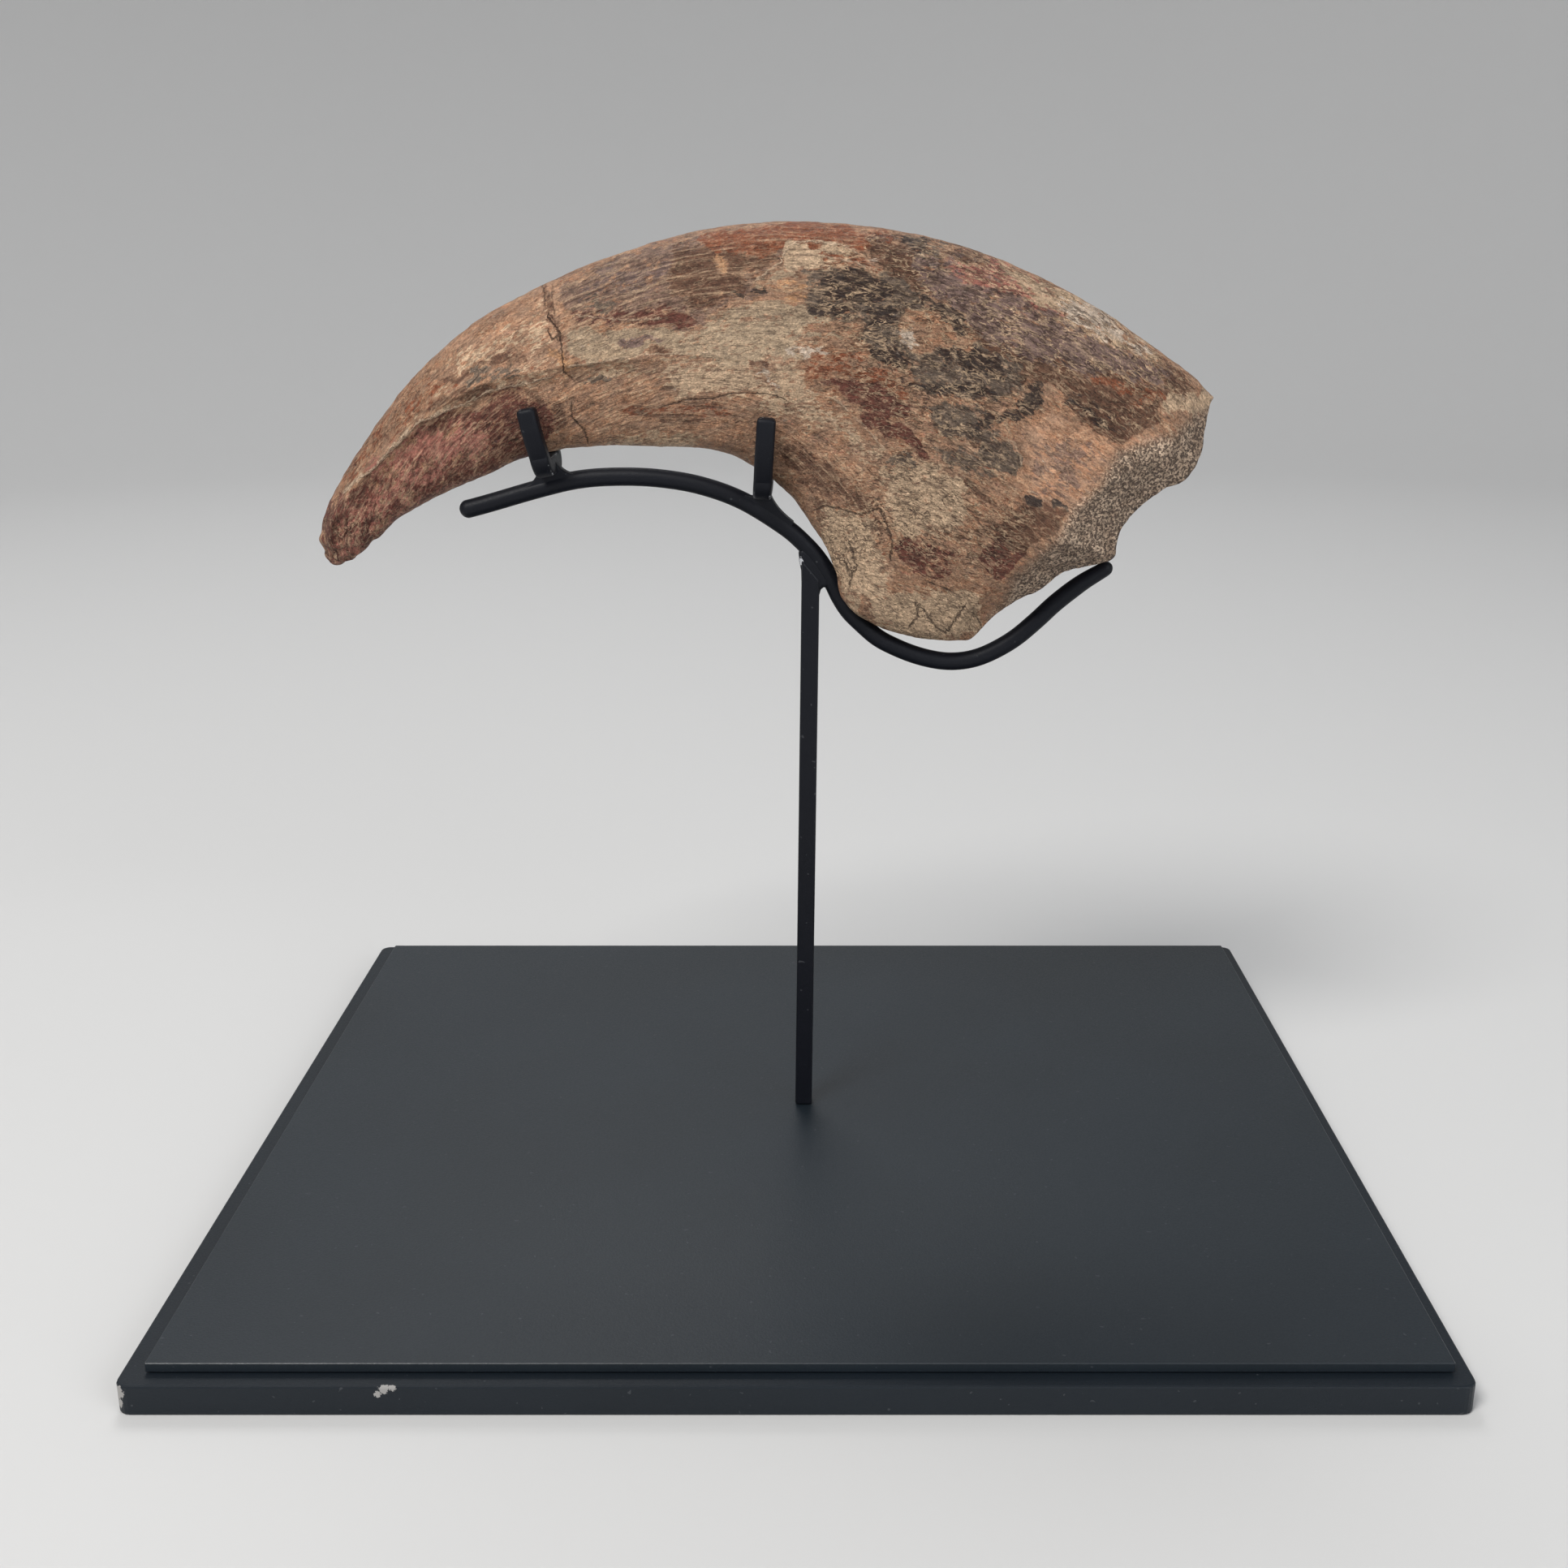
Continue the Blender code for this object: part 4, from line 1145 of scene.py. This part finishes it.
def worn_and_highlit_bars(n, paint, rough):
    """Pale grey places on the clips and joints, from the values that their points carry: a rub on
    the post's joint, painted highlights on the clips' edges and a pale patch on a far prong's
    foot.
    """
    ragged = n.about_zero(n.noise(n.place(), 0.8, 4, 0.7), 1.6)
    pale_marks = n.step(n.math("ADD", n.attribute("wear_and_highlight"), ragged), 0.42, 0.62)
    return n.mix(pale_marks, paint, linear(PALE_RUB_AND_HIGHLIGHT)), rough


def dress_mount_nodes():
    """Materials of the mount's pieces whose solids stay."""
    bars = paint_material("black_bars", BAR_PAINT, 0.42, 0.2, 0.5, 0.00006)
    plate = paint_material("black_plates", TOP_PAINT, 0.42, 0.42, 0.55, 0.00004)
    lower = paint_material("black_base", BASE_PAINT, 0.45, 0.3, 0.55, 0.00004, base_wear)
    for node, material in (("post", bars), ("top_plate", plate), ("base_plate", lower)):
        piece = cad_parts[node]
        piece.data.materials.clear()
        piece.data.materials.append(material)


def clip_path(clip):
    """Points of a clip in its own plane, across the claw and up each prong, with the share of
    the bar's thickness at each."""
    side = []
    for turn in np.linspace(0, math.pi / 2, 12):
        side.append((clip["low"] - CLIP_BEND + CLIP_BEND * math.sin(turn),
                     CLIP_BEND - CLIP_BEND * math.cos(turn), 1.0))
    straight = clip["height"] - CLIP_BEND
    round_end = [CLIP_TIP_ROUND * (1 - math.cos(a)) for a in np.linspace(0, math.pi / 2, 6)]
    lengths = list(np.linspace(0.06, 0.9, 16) * straight) + [straight - d for d in
                                                            reversed(round_end)]
    for length in lengths:
        f = length / straight
        spread = (clip["high"] - clip["low"]) * (2 * f - f * f)
        left = min((straight - length) / CLIP_TIP_ROUND, 1)
        shrink = CLIP_TIP_ROUND * (1 - math.sqrt(max(1 - (1 - left) ** 2, 0)))
        side.append((clip["low"] + spread, CLIP_BEND + length, 1 - shrink / (BAR / 2)))
    near = [(-across, up, scale) for across, up, scale in reversed(side)]
    return near + [(a, 0.0, 1.0) for a in np.linspace(-3, 3, 5)] + side


def bar_outline(steps=5):
    """Section of a square bar with rounded edges, as points across and through the bar."""
    flat = BAR / 2 - BAR_CORNER
    points = []
    for quarter in range(4):
        for part in range(steps):
            a = math.pi / 2 * (quarter + part / (steps - 1))
            sx = 1 if quarter in (0, 3) else -1
            sy = 1 if quarter in (0, 1) else -1
            points.append((sx * flat + BAR_CORNER * math.cos(a),
                           sy * flat + BAR_CORNER * math.sin(a)))
    return points


def smooth_mesh(bm, name, sharp=None):
    """Smooth-shaded mesh, with edges beyond an angle in degrees kept sharp."""
    mesh = bpy.data.meshes.new(name)
    bm.to_mesh(mesh)
    bm.free()
    mesh.shade_smooth()
    if sharp is not None:
        mesh.set_sharp_from_angle(angle=math.radians(sharp))
    return mesh


def sweep(name, frames, outline, sharp=None):
    """Closed bar through a row of frames, each a centre, two axes across the bar and a scale."""
    bm = bmesh.new()
    loops = []
    for centre, a, b, scale in frames:
        loops.append([bm.verts.new((centre + (a * u + b * v) * scale) * MM) for u, v in outline])
    for low, high in zip(loops, loops[1:]):
        for j in range(len(outline)):
            bm.faces.new((low[j - 1], low[j], high[j], high[j - 1]))
    bm.faces.new(loops[0])
    bm.faces.new(loops[-1])
    bmesh.ops.recalc_face_normals(bm, faces=bm.faces)
    return smooth_mesh(bm, name, sharp)


def clip_wear_and_highlights(clip, path, outline):
    """Pale marks of each point of a clip: painted highlights on its edges at the foot and the
    ends, and a pale grey patch on its far foot.
    """
    wear_and_highlight = []
    for across, rise, _ in path:
        ends = hump(rise, 2.4) + hump(clip["height"] - rise, 1.2)
        far = clip["far_pale_patch"] * (across > 0) * hump(rise - 4.5, 2.6)
        for u, v in outline:
            edge = hump(abs(u) - BAR / 2 + 0.3, 0.5) * hump(abs(v) - BAR / 2 + 0.3, 0.5)
            wear_and_highlight.append(max(0.48 * edge * ends, far))
    return wear_and_highlight


def make_clip(name, node, clip, material):
    """Square bar bent into a U around the claw's lower edge."""
    path, outline = clip_path(clip), bar_outline()
    lean = math.radians(clip["lean"])
    up = Vector((math.sin(lean), 0, math.cos(lean)))
    through = Vector((math.cos(lean), 0, -math.sin(lean)))
    foot = Vector((clip["foot"][0], MOUNT_Y, clip["foot"][1]))
    frames = []
    for i, (across, rise, scale) in enumerate(path):
        ahead, behind = path[min(i + 1, len(path) - 1)], path[max(i - 1, 0)]
        run = Vector((ahead[0] - behind[0], ahead[1] - behind[1])).normalized()
        centre = foot + Vector((0, across, 0)) + up * rise
        frames.append((centre, through, Vector((0, -run.y, 0)) + up * run.x, scale))
    mesh = sweep(name, frames, outline, 50)
    put_attribute(mesh, "wear_and_highlight", clip_wear_and_highlights(clip, path, outline))
    return new_piece(name, mesh, material, "black_bars", node)


def make_weld(name, outline, half_thickness, material, wear_place=None):
    """Fillet of brazing metal: an outline in the mount's plane, given thickness and soft edges."""
    bm = bmesh.new()
    near = [bm.verts.new(Vector((x, MOUNT_Y - half_thickness, z)) * MM) for x, z in outline]
    face = bm.faces.new(near)
    out = bmesh.ops.extrude_face_region(bm, geom=[face])
    moved = [v for v in out["geom"] if isinstance(v, bmesh.types.BMVert)]
    bmesh.ops.translate(bm, verts=moved, vec=(0, 2 * half_thickness * MM, 0))
    bmesh.ops.recalc_face_normals(bm, faces=bm.faces)
    rims = [e for e in bm.edges if abs(e.verts[0].co.y - e.verts[1].co.y) < 1e-6]
    bmesh.ops.bevel(bm, geom=rims, offset=WELD_EDGE * MM, segments=4, profile=0.5, affect="EDGES",
                    clamp_overlap=True)
    mesh = smooth_mesh(bm, name, 60)
    wear_and_highlight = np.zeros(len(mesh.vertices))
    if wear_place is not None:
        spots = np.array([v.co for v in mesh.vertices]) / MM
        gap = np.linalg.norm(spots - np.array(wear_place), axis=1)
        wear_and_highlight = 1.1 * hump(gap, 1.2)
    put_attribute(mesh, "wear_and_highlight", wear_and_highlight)
    return new_piece(name, mesh, material, "black_bars")


def make_cradle_rod(material):
    """Round bar that follows the claw's underside, with rounded ends and a thinner wrist end."""
    length = np.linalg.norm(np.diff(CRADLE, axis=0), axis=1).sum()
    radius = BAR / 2
    round_end = [radius * (1 - math.cos(a)) for a in np.linspace(0.12, math.pi / 2, 7)]
    body = np.linspace(radius * 1.4, length - radius * 1.4, ROD_STOPS)
    stops = np.concatenate((round_end, body, [length - d for d in reversed(round_end)]))
    centres = along(CRADLE, stops / length)
    frames = []
    for (x, z), run, stop in zip(centres, np.gradient(centres, axis=0), stops):
        end = min(stop, length - stop, radius)
        taper = 1 - (1 - CRADLE_END_RADIUS / radius) * ease(length - CRADLE_TAPER, length, stop)
        size = radius * math.sqrt(1 - (1 - end / radius) ** 2) * taper
        up = Vector((-run[1], 0, run[0])).normalized()
        frames.append((Vector((x, MOUNT_Y, z)), Vector((0, 1, 0)), up, size))
    turns = np.linspace(0, 2 * math.pi, ROD_AROUND, endpoint=False)
    circle = [(math.cos(turn), math.sin(turn)) for turn in turns]
    mesh = sweep("cradle_rod_bar", frames, circle)
    put_attribute(mesh, "wear_and_highlight", np.zeros(len(mesh.vertices)))
    return new_piece("cradle_rod_bar", mesh, material, "black_bars", "cradle_rod")


def clip_weld_outline(centre, degrees, left, right):
    """Concave flanks from the rod up to the clip, in X and Z. Each flank gives its reach, its
    rise at the clip and how slowly it falls."""
    slope = math.radians(degrees)
    run = Vector((math.cos(slope), math.sin(slope)))
    up = Vector((-run.y, run.x))
    top = []
    for sign, (reach, rise, fall, start) in ((-1, left), (1, right)):
        flank = [(sign * x, 1.5 + rise * math.exp(-max(x - start, 0) / fall))
                 for x in np.linspace(0.01, reach, 14)]
        top += flank[::-1] if sign < 0 else flank
    base = [(right[0], 0.4), (-left[0], 0.4)]
    return [tuple(Vector(centre) + run * x + up * z) for x, z in top + base]


def make_mount():
    """Everything that carries the claw, with its brazed joints."""
    dress_mount_nodes()
    # Paint of the clips, rod and joints, with a rub and painted highlights on the clips' edges
    rubbed_and_highlit = paint_material("rubbed_and_highlit_bars", BAR_PAINT, 0.5, 0.2, 0.5, 0.00006, worn_and_highlit_bars)
    make_clip("tip_clip_bar", "tip_clip", TIP_CLIP, rubbed_and_highlit)
    make_clip("mid_clip_bar", "mid_clip", MID_CLIP, rubbed_and_highlit)
    make_cradle_rod(rubbed_and_highlit)
    make_weld("tip_clip_weld", clip_weld_outline(*TIP_WELD), CLIP_WELD_HALF, rubbed_and_highlit)
    make_weld("mid_clip_weld", clip_weld_outline(*MID_WELD), CLIP_WELD_HALF, rubbed_and_highlit)
    make_weld("post_weld", POST_WELD, POST_WELD_HALF, rubbed_and_highlit, POST_WELD_RUB)


def make_stage():
    """Round pale floor that turns up into a wall far from the object."""
    profile = [(r, 0.0) for r in (0.0, 0.5, 1.0, FLOOR_RADIUS)]
    for a in np.linspace(0, math.pi / 2, 14)[1:]:
        profile.append((FLOOR_RADIUS + TURN_RADIUS * math.sin(a), TURN_RADIUS * (1 - math.cos(a))))
    profile.append((FLOOR_RADIUS + TURN_RADIUS, WALL_TOP))
    bm = bmesh.new()
    line = [bm.verts.new((r, 0, z)) for r, z in profile]
    edges = [bm.edges.new(pair) for pair in zip(line, line[1:])]
    bmesh.ops.spin(bm, geom=line + edges, axis=(0, 0, 1), cent=(0, 0, 0), steps=96,
                   angle=2 * math.pi, use_merge=True)
    bmesh.ops.remove_doubles(bm, verts=bm.verts, dist=0.0001)
    mesh = smooth_mesh(bm, "floor")
    n = Nodes("floor")
    n.shader.inputs["Base Color"].default_value = (0.64, 0.64, 0.64, 1)
    n.shader.inputs["Roughness"].default_value = 0.9
    n.shader.inputs["Specular IOR Level"].default_value = 0.1
    floor = bpy.data.objects.new("floor", mesh)
    bpy.context.scene.collection.objects.link(floor)
    mesh.materials.append(n.material)


def add_light(name, place, size, power, colour=(1, 1, 1)):
    light = bpy.data.lights.new(name, "AREA")
    light.shape = "DISK"
    light.size = size
    light.energy = power
    light.color = colour
    item = bpy.data.objects.new(name, light)
    item.location = place
    aim = Vector((0, 0, 0.15)) - Vector(place)
    item.rotation_euler = aim.to_track_quat("-Z", "Y").to_euler()
    bpy.context.scene.collection.objects.link(item)


def make_lights():
    bpy.context.scene.view_settings.view_transform = "Standard"
    world = bpy.data.worlds.new("studio")
    bpy.context.scene.world = world
    world.use_nodes = True
    background = world.node_tree.nodes["Background"]
    background.inputs["Color"].default_value = (0.95, 0.97, 1.0, 1)
    background.inputs["Strength"].default_value = 0.31
    add_light("key", (-0.8, -1.1, 1.7), 0.8, 32, (1.0, 0.98, 0.95))
    add_light("fill", (1.2, -1.3, 0.8), 1.2, 12, (0.95, 0.98, 1.0))
    add_light("back", (-0.3, 1.2, 1.9), 0.9, 12)


def make_camera():
    camera = bpy.data.cameras.new("camera")
    camera.sensor_width = 36
    camera.lens = 36 * FOCAL_PIXELS / PHOTO_SIZE
    camera.shift_x = (PHOTO_SIZE / 2 - CENTRE_PIXEL[0]) / PHOTO_SIZE
    camera.clip_start = 0.01
    item = bpy.data.objects.new("camera", camera)
    item.location = Vector(CAMERA_PLACE) * MM
    item.rotation_euler = (math.pi / 2 - PITCH, 0, 0)
    bpy.context.scene.collection.objects.link(item)
    bpy.context.scene.camera = item


make_camera()
make_claw()
make_mount()
make_stage()
make_lights()
